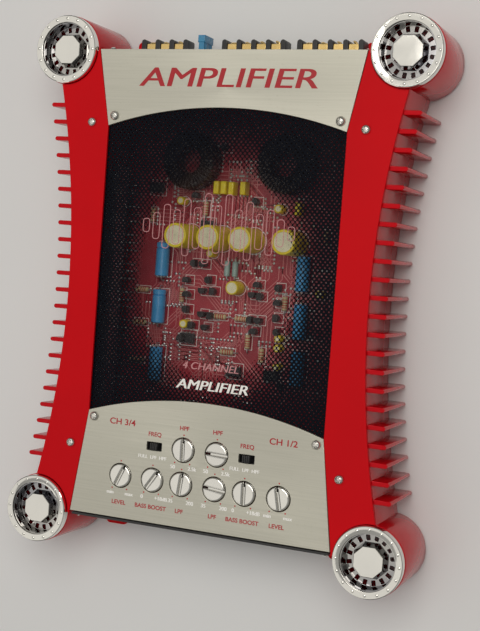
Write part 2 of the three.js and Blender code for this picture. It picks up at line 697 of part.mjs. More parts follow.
// pan-head screw, its head just clear of the sheet
function makeTopScrews() {
  const { end, shank, head, headHeight } = SCREW;
  const seat = DECK + FIT;
  const screw = turned([
    [0, end],
    [shank, end],
    [shank, seat],
    [head, seat],
    [0.93 * head, seat + 0.57 * headHeight],
    [0.53 * head, seat + 0.9 * headHeight],
    [0, seat + headHeight],
  ], 12);
  for (const [name, side] of [["left", -1], ["right", 1]]) {
    place(`${name}_cover_screw_1`, screw, STEEL, side * COVER_SCREW.x, COVER_SCREW.y);
    place(`${name}_cover_screw_2`, screw, STEEL, side * COVER_SCREW.x, -COVER_SCREW.y);
    place(`${name}_plate_screw_1`, screw, STEEL, side * PLATE_SCREW_X, PLATE_SCREW_Y[0]);
    place(`${name}_plate_screw_2`, screw, STEEL, side * PLATE_SCREW_X, PLATE_SCREW_Y[1]);
  }
}

// ---------------------------------------------------------------- assembly

makeBottomPlate();
makeHeatsinks();
makeSideCovers();
makeTerminalPlate();
makeControlPlate();
makeWindow();
makeCaps();
makeTerminalEndPanel();
makeControlEndPanel();
makeBoards();
BLOCKS.forEach(makeTerminalBlock);
makeFuseAndHolder();
makeJackBlock("rear_input_jacks", -1);
makeJackBlock("front_input_jacks", 1);
makeRemotePort();
makeToroids();
makeCapacitors();
makeClampBars();
makeKnobs();
makeSwitches();
makeTopScrews();

export default amplifier;
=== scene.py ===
"""Four-channel car audio amplifier: the drawn model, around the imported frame.

Sizes are in millimetres, in the frame's own axes, and turn into metres where a mesh is made.
"""

import json
import math
import random

import bpy
from mathutils import Matrix, Vector


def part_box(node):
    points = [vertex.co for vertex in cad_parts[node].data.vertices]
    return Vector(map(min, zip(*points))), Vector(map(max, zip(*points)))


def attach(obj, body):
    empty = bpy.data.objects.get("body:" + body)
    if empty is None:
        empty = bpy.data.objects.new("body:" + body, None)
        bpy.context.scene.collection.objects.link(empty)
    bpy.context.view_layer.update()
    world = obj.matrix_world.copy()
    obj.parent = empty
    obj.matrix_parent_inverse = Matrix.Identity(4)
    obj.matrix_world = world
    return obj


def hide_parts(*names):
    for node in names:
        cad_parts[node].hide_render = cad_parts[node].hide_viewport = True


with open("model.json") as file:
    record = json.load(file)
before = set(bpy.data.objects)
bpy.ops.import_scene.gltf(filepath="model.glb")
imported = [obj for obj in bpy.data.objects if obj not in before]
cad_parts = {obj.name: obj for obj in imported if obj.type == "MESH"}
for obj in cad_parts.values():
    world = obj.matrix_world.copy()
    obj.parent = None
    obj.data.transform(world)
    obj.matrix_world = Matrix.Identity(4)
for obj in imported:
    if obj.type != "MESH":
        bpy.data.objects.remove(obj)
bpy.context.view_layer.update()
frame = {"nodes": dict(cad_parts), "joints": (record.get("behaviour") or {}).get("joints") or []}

MM = 0.001
CASE = "case"


def corners(node):
    """Lowest and highest corner of a CAD node, in millimetres."""
    low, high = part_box(node)
    return [value / MM for value in low], [value / MM for value in high]


def centre(node):
    low, high = corners(node)
    return [(a + b) / 2 for a, b in zip(low, high)]


# ---- sizes taken from the frame

DECK = corners("terminal_plate")[1][2]
COVER_BOTTOM = corners("terminal_plate")[0][2]
SINK_BOTTOM = corners("right_heatsink")[0][2]
SINK_TOP = corners("right_heatsink")[1][2]
BOARD_TOP = corners("main_board")[1][2]
TUBE_X, TUBE_Y, _ = centre("cap_right_terminal")
TUBE_RADIUS = corners("right_heatsink")[1][0] - TUBE_X
CAP_TOP = corners("cap_right_terminal")[1][2]
CAP_BOTTOM = corners("cap_right_terminal")[0][2]
PANEL_OUTER = corners("terminal_end_panel")[1][1]

# the same driving sizes as the frame's own outlines
TUBE_BORE = 17.0
WAIST = 101.5
FLANK_RADIUS = 568.0
FLANK_MEETS_TUBE = 127.95
FIN_COUNT = 22
FIN_PITCH = 10.92
FIN_REACH = 10.9
FIN_THICKNESS = 2.8
SINK_INNER = 88.0
POCKET_WALL = 3.8
WINDOW_HALF = 80.0
PLATE_END_HALF = 89.4
ARC_RISE = 12.8
ARC_RADIUS = (WINDOW_HALF ** 2 + ARC_RISE ** 2) / (2 * ARC_RISE)
TERMINAL_CORNER = 102.0
CONTROL_CORNER = -81.1
COVER_SCREW_Y = 103.8
FIT = 0.3                        # gap between neighbouring parts
LAYER = 0.03                     # height of a printed layer
SCREW_HOLE = 1.7
SCREW_HEAD = (3.0, 2.1, 3.4)     # radius, height and size of the cross
HUB_FACE = 0.4                   # thickness of a corner cap's hub face
SMOOTH_BELOW = 35                # edges flatter than this many degrees are shaded smooth
SIDES = (-1, 1)


# ---- outlines

def arc(x, y, radius, start, end, steps):
    """Points along an arc, angles in degrees, both ends included."""
    points = []
    for step in range(steps + 1):
        angle = math.radians(start + (end - start) * step / steps)
        points.append((x + radius * math.cos(angle), y + radius * math.sin(angle)))
    return points


def circle(x, y, radius, steps=32):
    return arc(x, y, radius, 0, 360, steps)[:-1]


def box_outline(x_low, x_high, y_low, y_high):
    return [(x_low, y_low), (x_high, y_low), (x_high, y_high), (x_low, y_high)]


def filleted(points, radius, steps=4):
    """The closed outline with each corner rounded, as far as its two sides allow."""
    result = []
    count = len(points)
    for index, (x, y) in enumerate(points):
        before = points[index - 1]
        after = points[(index + 1) % count]
        to_before = (before[0] - x, before[1] - y)
        to_after = (after[0] - x, after[1] - y)
        reach = min(radius, math.hypot(*to_before) * 0.49, math.hypot(*to_after) * 0.49)
        start = [reach * part / math.hypot(*to_before) for part in to_before]
        end = [reach * part / math.hypot(*to_after) for part in to_after]
        for step in range(steps + 1):
            t = step / steps
            result.append((
                x + start[0] * (1 - t) ** 2 + end[0] * t ** 2,
                y + start[1] * (1 - t) ** 2 + end[1] * t ** 2,
            ))
    return result


def flank(y):
    """Half width of the case's hollow flank."""
    return WAIST + FLANK_RADIUS - math.sqrt(FLANK_RADIUS ** 2 - y ** 2)


# where the flank meets a corner tube, as an angle round the tube
MEETS = math.degrees(math.atan2(FLANK_MEETS_TUBE - TUBE_Y, flank(FLANK_MEETS_TUBE) - TUBE_X))


# ---- solids

class Solid:
    """Corner points in millimetres and faces, gathered from simpler solids."""

    def __init__(self, points=(), faces=()):
        self.points = list(points)
        self.faces = list(faces)

    def add(self, other, x=0.0, y=0.0, z=0.0, turn=0.0, tilt=0.0, roll=0.0):
        """Another solid, rolled about Y, tilted about X and turned about Z, then moved."""
        place = (
            Matrix.Translation((x, y, z))
            @ Matrix.Rotation(math.radians(turn), 4, "Z")
            @ Matrix.Rotation(math.radians(tilt), 4, "X")
            @ Matrix.Rotation(math.radians(roll), 4, "Y")
        )
        first = len(self.points)
        self.points += [tuple(place @ Vector(point)) for point in other.points]
        self.faces += [tuple(first + corner for corner in face) for face in other.faces]
        return self


def link(name, data):
    """A new object in the scene."""
    thing = bpy.data.objects.new(name, data)
    bpy.context.scene.collection.objects.link(thing)
    return thing


def solid_from(curve, lift=0.0):
    """The solid that a Blender outline or text makes, raised by lift; the curve is used up."""
    shape = link("outline", curve)
    mesh = bpy.data.meshes.new_from_object(shape.evaluated_get(bpy.context.evaluated_depsgraph_get()))
    points = [(v.co.x / MM, v.co.y / MM, v.co.z / MM + lift) for v in mesh.vertices]
    faces = [tuple(polygon.vertices) for polygon in mesh.polygons]
    bpy.data.objects.remove(shape)
    bpy.data.curves.remove(curve)
    bpy.data.meshes.remove(mesh)
    return Solid(points, faces)


def prism(outline, low, high, bevel=0.0, holes=(), steps=2):
    """An outline in XY with holes, raised from low to high, its edges rounded by bevel."""
    curve = bpy.data.curves.new("outline", "CURVE")
    curve.dimensions = "2D"
    curve.fill_mode = "BOTH"
    curve.extrude = ((high - low) / 2 - bevel) * MM
    curve.bevel_depth = bevel * MM
    curve.bevel_resolution = steps
    curve.offset = -bevel * MM
    for loop in [outline, *holes]:
        spline = curve.splines.new("POLY")
        spline.points.add(len(loop) - 1)
        for point, (x, y) in zip(spline.points, loop):
            point.co = (x * MM, y * MM, 0, 1)
        spline.use_cyclic_u = True
    return solid_from(curve, (low + high) / 2)


def slab(x_low, x_high, y_low, y_high, low, high, bevel=0.3):
    return prism(box_outline(x_low, x_high, y_low, y_high), low, high, bevel)


def node_slab(node, bevel):
    """A rounded block that fills a CAD node's box."""
    low, high = corners(node)
    return slab(low[0], high[0], low[1], high[1], low[2], high[2], bevel)


def revolve(profile, steps=32, closed=False):
    """A turned solid about Z from (radius, height) pairs; a radius of 0 is on the axis."""
    points = []
    rings = []
    for radius, height in profile:
        if radius == 0:
            rings.append([len(points)])
            points.append((0.0, 0.0, height))
            continue
        rings.append(list(range(len(points), len(points) + steps)))
        points += [(x, y, height) for x, y in circle(0, 0, radius, steps)]
    faces = []
    pairs = list(zip(rings, rings[1:]))
    if closed:
        pairs.append((rings[-1], rings[0]))
    for lower, upper in pairs:
        for step in range(steps):
            after = (step + 1) % steps
            corners_of_face = [lower[step % len(lower)]]
            if len(lower) > 1:
                corners_of_face.append(lower[after])
            if len(upper) > 1:
                corners_of_face.append(upper[after])
            corners_of_face.append(upper[step % len(upper)])
            if len(set(corners_of_face)) > 2:
                faces.append(tuple(corners_of_face))
    return Solid(points, faces)


def wire(path, radius, steps=6):
    """A bent wire through a few points, with closed ends."""
    points = []
    faces = []
    for index, (x, y, z) in enumerate(path):
        before = path[max(index - 1, 0)]
        after = path[min(index + 1, len(path) - 1)]
        along = Vector([b - a for a, b in zip(before, after)])
        spin = along.to_track_quat("Z", "Y")
        for px, py in circle(0, 0, radius, steps):
            point = Vector((px, py, 0))
            point.rotate(spin)
            points.append((x + point.x, y + point.y, z + point.z))
    for ring in range(len(path) - 1):
        for step in range(steps):
            after = (step + 1) % steps
            first = ring * steps
            faces.append((first + step, first + after, first + steps + after, first + steps + step))
    faces.append(tuple(range(steps - 1, -1, -1)))
    faces.append(tuple(range(len(points) - steps, len(points))))
    return Solid(points, faces)


def piece(name, solid, material, replaces=(), body=CASE):
    """A finished piece: its mesh, look, the CAD nodes it stands for and its body."""
    mesh = bpy.data.meshes.new(name)
    mesh.from_pydata([[value * MM for value in point] for point in solid.points], [], solid.faces)
    mesh.validate()
    mesh.shade_smooth()
    mesh.set_sharp_from_angle(angle=math.radians(SMOOTH_BELOW))
    mesh.materials.append(material)
    thing = link(name, mesh)
    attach(thing, body)
    if replaces:
        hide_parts(*replaces)


# ---- material helpers

class Look:
    """A material in the making: its nodes are added and joined by short calls."""

    def __init__(self, name, colour, roughness, metallic=0.0, **sockets):
        self.material = bpy.data.materials.new(name)
        self.material.use_nodes = True
        self.tree = self.material.node_tree
        self.shader = self.tree.nodes["Principled BSDF"]
        self.colour = colour
        self.roughness = roughness
        self.shader.inputs["Base Color"].default_value = (*colour, 1)
        self.shader.inputs["Roughness"].default_value = roughness
        self.shader.inputs["Metallic"].default_value = metallic
        for socket, value in sockets.items():
            self.shader.inputs[socket.replace("_", " ")].default_value = value
        self.coordinates = self.node("TexCoord").outputs["Object"]

    def node(self, kind, inputs=(), **settings):
        """A new node; inputs maps a socket to a number, a colour or another node's output."""
        made = self.tree.nodes.new("ShaderNode" + kind)
        for key, value in settings.items():
            setattr(made, key, value)
        for socket, value in dict(inputs).items():
            if isinstance(value, bpy.types.NodeSocket):
                self.tree.links.new(value, made.inputs[socket])
            else:
                made.inputs[socket].default_value = value
        return made

    def join(self, output, socket):
        self.tree.links.new(output, self.shader.inputs[socket])

    def math(self, operation, first, second=0.0):
        return self.node("Math", {0: first, 1: second}, operation=operation).outputs[0]

    def noise(self, scale, detail=3.0, stretch=(1, 1, 1), rough=0.55):
        """Noise with features about 1000 / scale millimetres across."""
        placed = self.node("Mapping", {"Vector": self.coordinates, "Scale": stretch})
        made = self.node("TexNoise", {
            "Vector": placed.outputs[0], "Scale": scale, "Detail": detail, "Roughness": rough,
        })
        return made.outputs["Fac"]

    def spread(self, value, low, high, to_low=0.0, to_high=1.0):
        """The value's stretch from low to high, spread over another range."""
        made = self.node("MapRange", {
            "Value": value, "From Min": low, "From Max": high, "To Min": to_low, "To Max": to_high,
        })
        return made.outputs["Result"]

    def mix(self, factor, first, second):
        """A colour between two, each a colour or a node's output."""
        made = self.tree.nodes.new("ShaderNodeMix")
        made.data_type = "RGBA"
        self.tree.links.new(factor, made.inputs[0])
        for index, value in ((6, first), (7, second)):
            if isinstance(value, bpy.types.NodeSocket):
                self.tree.links.new(value, made.inputs[index])
            else:
                made.inputs[index].default_value = (*value, 1)
        return made.outputs[2]

    def tint(self, factor, other, low=0.35, high=0.65):
        """Base colour that drifts to another where the factor is high."""
        self.join(self.mix(self.spread(factor, low, high), self.colour, other), "Base Color")
        return self

    def gloss(self, factor, low, high):
        """Roughness that follows the factor's middle range."""
        self.join(self.spread(factor, 0.3, 0.7, low, high), "Roughness")
        return self

    def bump(self, height, strength, distance):
        """Relief of a given depth in millimetres."""
        made = self.node("Bump", {"Height": height, "Strength": strength, "Distance": distance * MM})
        self.join(made.outputs["Normal"], "Normal")
        return self


# ---- materials

def surface(name, colour, other, roughness, metallic=0.0, tint=(120, 3), gloss=(), bump=(), **sockets):
    """A look whose colour, gloss and relief each follow a noise of their own.

    tint, gloss and bump begin with what their noise takes. gloss ends with the lowest and highest
    roughness, and bump with its strength and its depth in millimetres.
    """
    look = Look(name, colour, roughness, metallic, **sockets)
    if other:
        look.tint(look.noise(*tint), other)
    if gloss:
        look.gloss(look.noise(*gloss[:-2]), *gloss[-2:])
    if bump:
        look.bump(look.noise(*bump[:-2]), *bump[-2:])
    return look.material


def brushed_plate():
    """Pale satin steel, brushed along X, with faint darker flecks."""
    look = Look("brushed_plate", (0.58, 0.57, 0.50), 0.42, 0.6, Anisotropic=0.35)
    grain = look.noise(500, 3, (0.03, 1.6, 1), 0.7)
    fleck = look.noise(900, 2, (0.5, 1, 1))
    broad = look.noise(9, 2)
    brushed = look.mix(look.spread(grain, 0.35, 0.65), (0.56, 0.55, 0.475), (0.63, 0.615, 0.54))
    clouded = look.mix(look.spread(broad, 0.35, 0.7, 0, 0.25), brushed, (0.47, 0.465, 0.41))
    look.join(look.mix(look.spread(fleck, 0.62, 0.75, 0, 0.22), clouded, (0.42, 0.39, 0.32)), "Base Color")
    look.gloss(grain, 0.34, 0.5)
    return look.bump(grain, 0.12, 0.02).material


def chrome(name, colour, other):
    """Bright plating with faint smears and fine scratches."""
    return surface(name, colour, other, 0.07, 1.0, tint=(25, 3), gloss=(60, 4, 0.04, 0.13),
                   bump=(700, 2, (0.2, 1, 1), 0.05, 0.01))


def coloured_plastic(name, colour, other, roughness=0.3, alpha=1.0):
    """Moulded plastic in a colour with a slight mottle."""
    return surface(name, colour, other, roughness, gloss=(250, 3, roughness - 0.06, roughness + 0.1),
                   bump=(1200, 2, 0.15, 0.03), Alpha=alpha, Coat_Weight=0.2)


def plain_metal(name, colour, other, roughness=0.25, stretch=(1, 1, 1)):
    """Bare or plated metal with drawn grain and dulled patches."""
    return surface(name, colour, other, roughness, 1.0, tint=(150, 4, stretch),
                   gloss=(90, 4, roughness - 0.08, roughness + 0.14), bump=(900, 2, stretch, 0.15, 0.02))


def circuit_board():
    """Red lacquer over fibreglass, with the cloth's weave just showing."""
    look = Look("circuit_board", (0.46, 0.030, 0.050), 0.35, Coat_Weight=0.4, Coat_Roughness=0.15)
    weave = look.math("MULTIPLY", look.noise(1400, 1, (1, 0.1, 1)), look.noise(1400, 1, (0.1, 1, 1)))
    look.tint(look.noise(35, 4), (0.32, 0.020, 0.036))
    look.gloss(look.noise(120, 3), 0.28, 0.45)
    return look.bump(weave, 0.2, 0.03).material


def printed_ink(name, colour, other):
    """Screen-printed ink with a slightly uneven cover."""
    return surface(name, colour, other, 0.45, tint=(700, 3), bump=(1500, 2, 0.1, 0.02))


def window_print():
    """Navy ink whose clear dots grow towards a clear egg-shaped middle."""
    look = Look("window_print", (0.0045, 0.0055, 0.0095), 0.4, Specular_IOR_Level=0.04)
    pitch_across, pitch_along = 3.0, 3.5
    middle_x, middle_y = 0.0, 13.0
    half_width, half_length = 86.0, 110.0
    edge = 0.12
    place = look.node("SeparateXYZ", {"Vector": look.coordinates})
    x = look.math("DIVIDE", place.outputs["X"], MM)
    y = look.math("DIVIDE", place.outputs["Y"], MM)

    def length(across, along):
        squares = look.math("ADD", look.math("POWER", across, 2.0), look.math("POWER", along, 2.0))
        return look.math("SQRT", squares)

    def away(value, pitch, shift):
        """Distance to the nearest dot's middle along one axis."""
        turns = look.math("ADD", look.math("DIVIDE", value, pitch), shift)
        offset = look.math("SUBTRACT", look.math("FRACT", turns), 0.5)
        return look.math("MULTIPLY", offset, pitch)

    def to_dot(shift):
        return length(away(x, pitch_across, shift), away(y, pitch_along, shift))

    nearest = look.math("MINIMUM", to_dot(0.0), to_dot(0.5))
    from_x = look.math("DIVIDE", look.math("SUBTRACT", x, middle_x), half_width)
    from_y = look.math("DIVIDE", look.math("SUBTRACT", y, middle_y), half_length)
    uneven = look.math("MULTIPLY", look.math("SUBTRACT", look.noise(30, 2), 0.5), 0.05)
    ragged = look.math("ADD", length(from_x, from_y), uneven)
    fading = look.spread(ragged, 0.60, 1.04, 1.15, 0.0)
    clear = look.spread(ragged, 0.54, 0.66, 2.0, 0.6)
    dot_radius = look.math("MAXIMUM", fading, clear)
    look.join(look.spread(look.math("SUBTRACT", nearest, dot_radius), -edge, edge), "Alpha")
    look.gloss(look.noise(500, 3), 0.28, 0.34)
    return look.material


# powder coat with a fine orange peel
RED_PAINT = surface(
    "red_paint", (0.64, 0.003, 0.008), (0.59, 0.003, 0.008), 0.4, tint=(14, 4),
    gloss=(160, 5, 0.34, 0.46), bump=(420, 2, 0.12, 0.04), Specular_IOR_Level=0.08)
# the heatsinks' red: glossy enough to mirror the table at a low angle, and a deeper red than the covers' as
# painted shade for the walls between the fins
RED_GLOSS_PAINTED_SHADE = surface(
    "red_gloss_painted_shade", (0.56, 0.003, 0.008), (0.49, 0.003, 0.008), 0.12, tint=(14, 4),
    gloss=(160, 5, 0.08, 0.16), bump=(420, 2, 0.05, 0.04),
    IOR=1.75, Specular_IOR_Level=0.45, Specular_Tint=(1, 0.12, 0.15, 1))
BRUSHED = brushed_plate()
CHROME = chrome("chrome", (0.84, 0.83, 0.79), (0.78, 0.77, 0.74))
# the caps' chrome darkened as painted shade for the recessed dish and the hub's sides
CHROME_PAINTED_SHADE = chrome("chrome_painted_shade", (0.50, 0.49, 0.47), (0.36, 0.36, 0.38))
BLACK_STEEL = surface(
    "black_steel", (0.018, 0.018, 0.02), (0.03, 0.03, 0.032), 0.5, tint=(40, 4),
    gloss=(300, 3, 0.4, 0.6), bump=(1500, 2, 0.35, 0.06))
BLACK_PLASTIC = surface(
    "black_plastic", (0.016, 0.016, 0.018), (0.028, 0.028, 0.03), 0.42, tint=(60, 3),
    gloss=(200, 3, 0.34, 0.5), bump=(2200, 2, 0.25, 0.03))
BOARD = circuit_board()
# copper under the red lacquer: paler and pinker than the board round it
TRACK = surface(
    "copper_track", (0.72, 0.26, 0.26), (0.60, 0.17, 0.18), 0.35, 0.2, tint=(90, 3),
    bump=(800, 2, 0.2, 0.03), Coat_Weight=0.4)
WINDING = surface(
    "winding", (0.045, 0.030, 0.026), (0.025, 0.024, 0.026), 0.25, 0.5, gloss=(200, 3, 0.2, 0.4),
    Coat_Weight=0.5, Coat_Roughness=0.08)
WINDOW_PRINT = window_print()
CLEAR_SHEET = surface(
    "clear_sheet", (0.05, 0.03, 0.035), None, 0.1, gloss=(120, 4, 0.05, 0.16),
    bump=(300, 2, 0.05, 0.01), Alpha=0.07)
GOLD = plain_metal("gold_plate", (0.80, 0.58, 0.24), (0.70, 0.50, 0.20), 0.22)
SCREW_STEEL = plain_metal("screw_steel", (0.80, 0.79, 0.76), (0.66, 0.65, 0.62), 0.18)
TINNED = plain_metal("tinned_lead", (0.72, 0.72, 0.72), (0.58, 0.58, 0.57), 0.32)
ALUMINIUM = plain_metal("bare_aluminium", (0.64, 0.65, 0.66), (0.54, 0.55, 0.56), 0.35, (1, 0.1, 1))
YELLOW = coloured_plastic("yellow_sleeve", (0.92, 0.74, 0.03), (0.80, 0.62, 0.02))
BLUE = coloured_plastic("blue_sleeve", (0.07, 0.38, 0.78), (0.05, 0.32, 0.66))
CAN_LID = coloured_plastic("can_lid", (0.90, 0.86, 0.62), (0.78, 0.74, 0.52))
FUSE_BLUE = coloured_plastic("fuse_blue", (0.05, 0.30, 0.55), (0.04, 0.24, 0.46), 0.2, 0.9)
BEIGE = coloured_plastic("beige_body", (0.62, 0.52, 0.30), (0.52, 0.42, 0.24), 0.4)
TEAL = coloured_plastic("teal_body", (0.36, 0.50, 0.48), (0.30, 0.42, 0.41), 0.4)
WHITE_PLASTIC = coloured_plastic("white_plastic", (0.75, 0.74, 0.70), (0.66, 0.65, 0.61), 0.4)
SIGNAL_RED = coloured_plastic("signal_red", (0.55, 0.02, 0.02), (0.45, 0.015, 0.015), 0.35)
RED_INK = printed_ink("red_ink", (0.46, 0.006, 0.016), (0.40, 0.006, 0.016))
WHITE_INK = printed_ink("white_ink", (0.96, 0.95, 0.93), (0.90, 0.89, 0.87))
PINK_INK = printed_ink("pink_ink", (0.58, 0.27, 0.28), (0.48, 0.20, 0.22))


# ---- case

def heatsink_outline():
    rib_inner, rib_low, rib_high = corners("right_heatsink")[0][0], 140.0, 148.5
    rib_angle = 180 + math.degrees(math.asin((TUBE_Y - rib_high) / TUBE_RADIUS))
    outline = [
        (SINK_INNER, rib_low), (SINK_INNER, -rib_low), (rib_inner, -rib_low), (rib_inner, -rib_high),
    ]
    outline += arc(TUBE_X, -TUBE_Y, TUBE_RADIUS, -rib_angle, -MEETS, 64)
    half = FIN_THICKNESS / 2
    for fin in range(FIN_COUNT):
        y = (fin - (FIN_COUNT - 1) / 2) * FIN_PITCH
        outline += [(flank(y - half), y - half)]
        outline += arc(flank(y) + FIN_REACH - half, y, half, -90, 90, 8)
        outline += [(flank(y + half), y + half)]
    outline += arc(TUBE_X, TUBE_Y, TUBE_RADIUS, MEETS, rib_angle, 64)
    return outline + [(rib_inner, rib_high), (rib_inner, rib_low)]


def heatsink_pockets():
    """The hollow runs through the extrusion, and the tubes' bores."""
    pitch, count = 28.0, 7
    bands = [(-125.0, -109.0), (109.0, 125.0)]
    for pocket in range(count):
        middle = (pocket - (count - 1) / 2) * pitch
        bands.append((middle - (pitch - POCKET_WALL) / 2, middle + (pitch - POCKET_WALL) / 2))
    holes = [circle(TUBE_X, side * TUBE_Y, TUBE_BORE, 72) for side in (-1, 1)]
    for low, high in bands:
        nearest = 0 if low * high < 0 else min(abs(low), abs(high))
        outer = flank(nearest) - POCKET_WALL
        holes.append(filleted(box_outline(SINK_INNER + POCKET_WALL, outer, low, high), 1.0))
    return holes


def make_heatsinks():
    sink = prism(heatsink_outline(), SINK_BOTTOM, SINK_TOP, 0.3, heatsink_pockets())
    for name, turn in (("right_heatsink", 0), ("left_heatsink", 180)):
        piece(f"{name}_body", Solid().add(sink, turn=turn), RED_GLOSS_PAINTED_SHADE, [name])


def cover_outline(upper_corner, upper_end, lower_corner, lower_end):
    """A side cover: straight inner edge, hollow flank, and a bite for each corner tube."""
    inner = WINDOW_HALF + FIT / 2
    end_inner = PLATE_END_HALF + FIT
    end = TUBE_Y + FIT
    tube = TUBE_RADIUS + 0.1
    outline = [(inner, -lower_corner), (end_inner, -lower_end), (end_inner, -end)]
    outline += arc(TUBE_X, -TUBE_Y, tube, 179.5, -MEETS, 24)
    steps = 40
    for step in range(1, steps):
        y = FLANK_MEETS_TUBE * (2 * step / steps - 1)
        outline.append((flank(y), y))
    outline += arc(TUBE_X, TUBE_Y, tube, MEETS, -179.5, 24)
    return outline + [(end_inner, end), (end_inner, upper_end), (inner, upper_corner)]


def make_side_covers():
    upper = (TERMINAL_CORNER, corners("terminal_plate")[1][1] - FIT)
    lower = (-CONTROL_CORNER, -corners("control_plate")[0][1])
    screw_x = centre("right_cover_screw_1")[0]
    holes = [circle(screw_x, side * COVER_SCREW_Y, SCREW_HOLE) for side in SIDES]
    for name, ends, turn in (("right", upper + lower, 0), ("left", lower + upper, 180)):
        cover = prism(cover_outline(*ends), COVER_BOTTOM, DECK, 0.45, holes, 3)
        solid = Solid().add(cover, turn=turn)
        piece(f"{name}_cover", solid, RED_PAINT, [f"{name}_side_cover"])


def plate_arc(corner, leftward):
    """The silver plates' curved edges, both bowed towards the terminals."""
    half_angle = math.degrees(math.asin(WINDOW_HALF / ARC_RADIUS))
    ends = (90 - half_angle, 90 + half_angle)
    start, end = ends if leftward else ends[::-1]
    return arc(0, corner + ARC_RISE - ARC_RADIUS, ARC_RADIUS, start, end, 48)


def silver_plate(node, outline, screw_y, holes=()):
    """A silver plate with a hole for each of its two screws."""
    screw_x = centre("right_plate_screw_1")[0]
    screw_holes = [circle(side * screw_x, screw_y, SCREW_HOLE) for side in SIDES]
    plate = prism(outline, COVER_BOTTOM, DECK, 0.25, [*screw_holes, *holes], 3)
    piece(f"{node}_sheet", plate, BRUSHED, [node])


def make_silver_plates():
    half = PLATE_END_HALF - FIT / 2
    far = corners("terminal_plate")[1][1]
    near = corners("control_plate")[0][1]
    outline = plate_arc(TERMINAL_CORNER, False) + [(half, far), (-half, far)]
    silver_plate("terminal_plate", outline, centre("right_plate_screw_1")[1])

    outline = [(-half, near), (half, near)] + plate_arc(CONTROL_CORNER, True)
    holes = [circle(*centre(f"{knob}_knob")[:2], 8.0, 48) for knob in KNOBS]
    for name in SWITCHES:
        x, y, _ = centre(f"{name}_filter_slider")
        holes.append(filleted(box_outline(x - 5.3, x + 5.3, y - 2.7, y + 2.7), 0.5))
    silver_plate("control_plate", outline, centre("right_plate_screw_2")[1], holes)


def make_window():
    low, high = corners("window")
    printed, gap, inset = 0.12, 0.02, 0.3
    sheet = slab(low[0], high[0], low[1], high[1], low[2], high[2] - printed - gap, 0.2)
    piece("window_sheet", sheet, CLEAR_SHEET, ["window"])
    outline = box_outline(low[0] + inset, high[0] - inset, low[1] + inset, high[1] - inset)
    piece("window_print", prism(outline, high[2] - printed, high[2]), WINDOW_PRINT)


def make_bottom_plate():
    """The base sheet with its four ears, and a pillar under each silver plate's screw."""
    high = corners("bottom_plate")[1]
    waist, end_half = high[0], 90.4
    ear_x, ear_half, ear_end, hole_y, ear_hole = 80.5, 8.0, high[1], 156.6, 2.7
    sheet, corner, pillar = 2.0, 3.0, 3.6
    quarter = [(waist, 120.0), (end_half, 135.0), (end_half, PANEL_OUTER), (ear_x + ear_half, PANEL_OUTER)]
    quarter += arc(ear_x + ear_half - corner, ear_end - corner, corner, 0, 90, 6)
    quarter += arc(ear_x - ear_half + corner, ear_end - corner, corner, 90, 180, 6)
    quarter += [(ear_x - ear_half, PANEL_OUTER)]
    upper = quarter + [(-x, y) for x, y in reversed(quarter)]
    outline = upper + [(-x, -y) for x, y in upper]
    holes = [circle(sx * ear_x, sy * hole_y, ear_hole) for sx in SIDES for sy in SIDES]
    plate = prism(outline, 0, sheet, 0.3, holes)
    for side in ("left", "right"):
        for number in (1, 2):
            x, y, _ = centre(f"{side}_plate_screw_{number}")
            plate.add(prism(circle(x, y, pillar), sheet, high[2], 0.2))
    piece("bottom_plate_sheet", plate, RED_PAINT, ["bottom_plate"])


# ---- corner caps

CAP_SLOTS = 16
RECESS = 17.3            # radius of the ring's inner edge
DISH_FLOOR = 15.7        # radius of the dish's flat floor
FLOOR_TOP = 46.5
HUB_TOP = 52.9
HUB_SIDES = 8
RIVET_HEIGHT = 0.45
RING_TOP = CAP_TOP - RIVET_HEIGHT
RING_BOTTOM = RING_TOP - 1.4


def hub_radii():
    """Radii to the corners of the hub's top and base."""
    corner = math.cos(math.radians(180 / HUB_SIDES))
    return 9.1 / corner, 11.0 / corner


def cap_ring():
    """The cap's bright parts: its ring with the rivets, and the hub's face."""
    flange = 21.8
    ring = revolve([
        (RECESS - 0.15, RING_BOTTOM), (RECESS - 0.15, COVER_BOTTOM), (flange, COVER_BOTTOM),
        (flange, RING_TOP - 0.9), (flange - 0.15, RING_TOP - 0.35), (flange - 0.6, RING_TOP),
        (RECESS + 0.4, RING_TOP), (RECESS + 0.1, RING_TOP - 0.1), (RECESS, RING_TOP - 0.5),
    ], 96, closed=True)
    rivet = revolve([(0, -0.02), (0.9, -0.02), (0.8, 0.2), (0.45, 0.4), (0, RIVET_HEIGHT)], 16)
    for x, y in circle(0, 0, 19.6, CAP_SLOTS):
        ring.add(rivet, x, y, RING_TOP)
    radius = hub_radii()[0]
    face_bottom = HUB_TOP - HUB_FACE
    return ring.add(revolve([
        (0, face_bottom), (radius, face_bottom), (radius - 0.05, HUB_TOP - 0.3),
        (radius - 0.35, HUB_TOP), (0, HUB_TOP),
    ], HUB_SIDES), turn=180 / HUB_SIDES)


def dish_slot(number):
    """One of the slots round the dish's floor."""
    angle = math.radians((number + 0.5) * 360 / CAP_SLOTS)
    return [
        (x * math.cos(angle) - y * math.sin(angle), x * math.sin(angle) + y * math.cos(angle))
        for x, y in filleted(box_outline(12.0, 15.4, -1.25, 1.25), 0.4, 2)
    ]


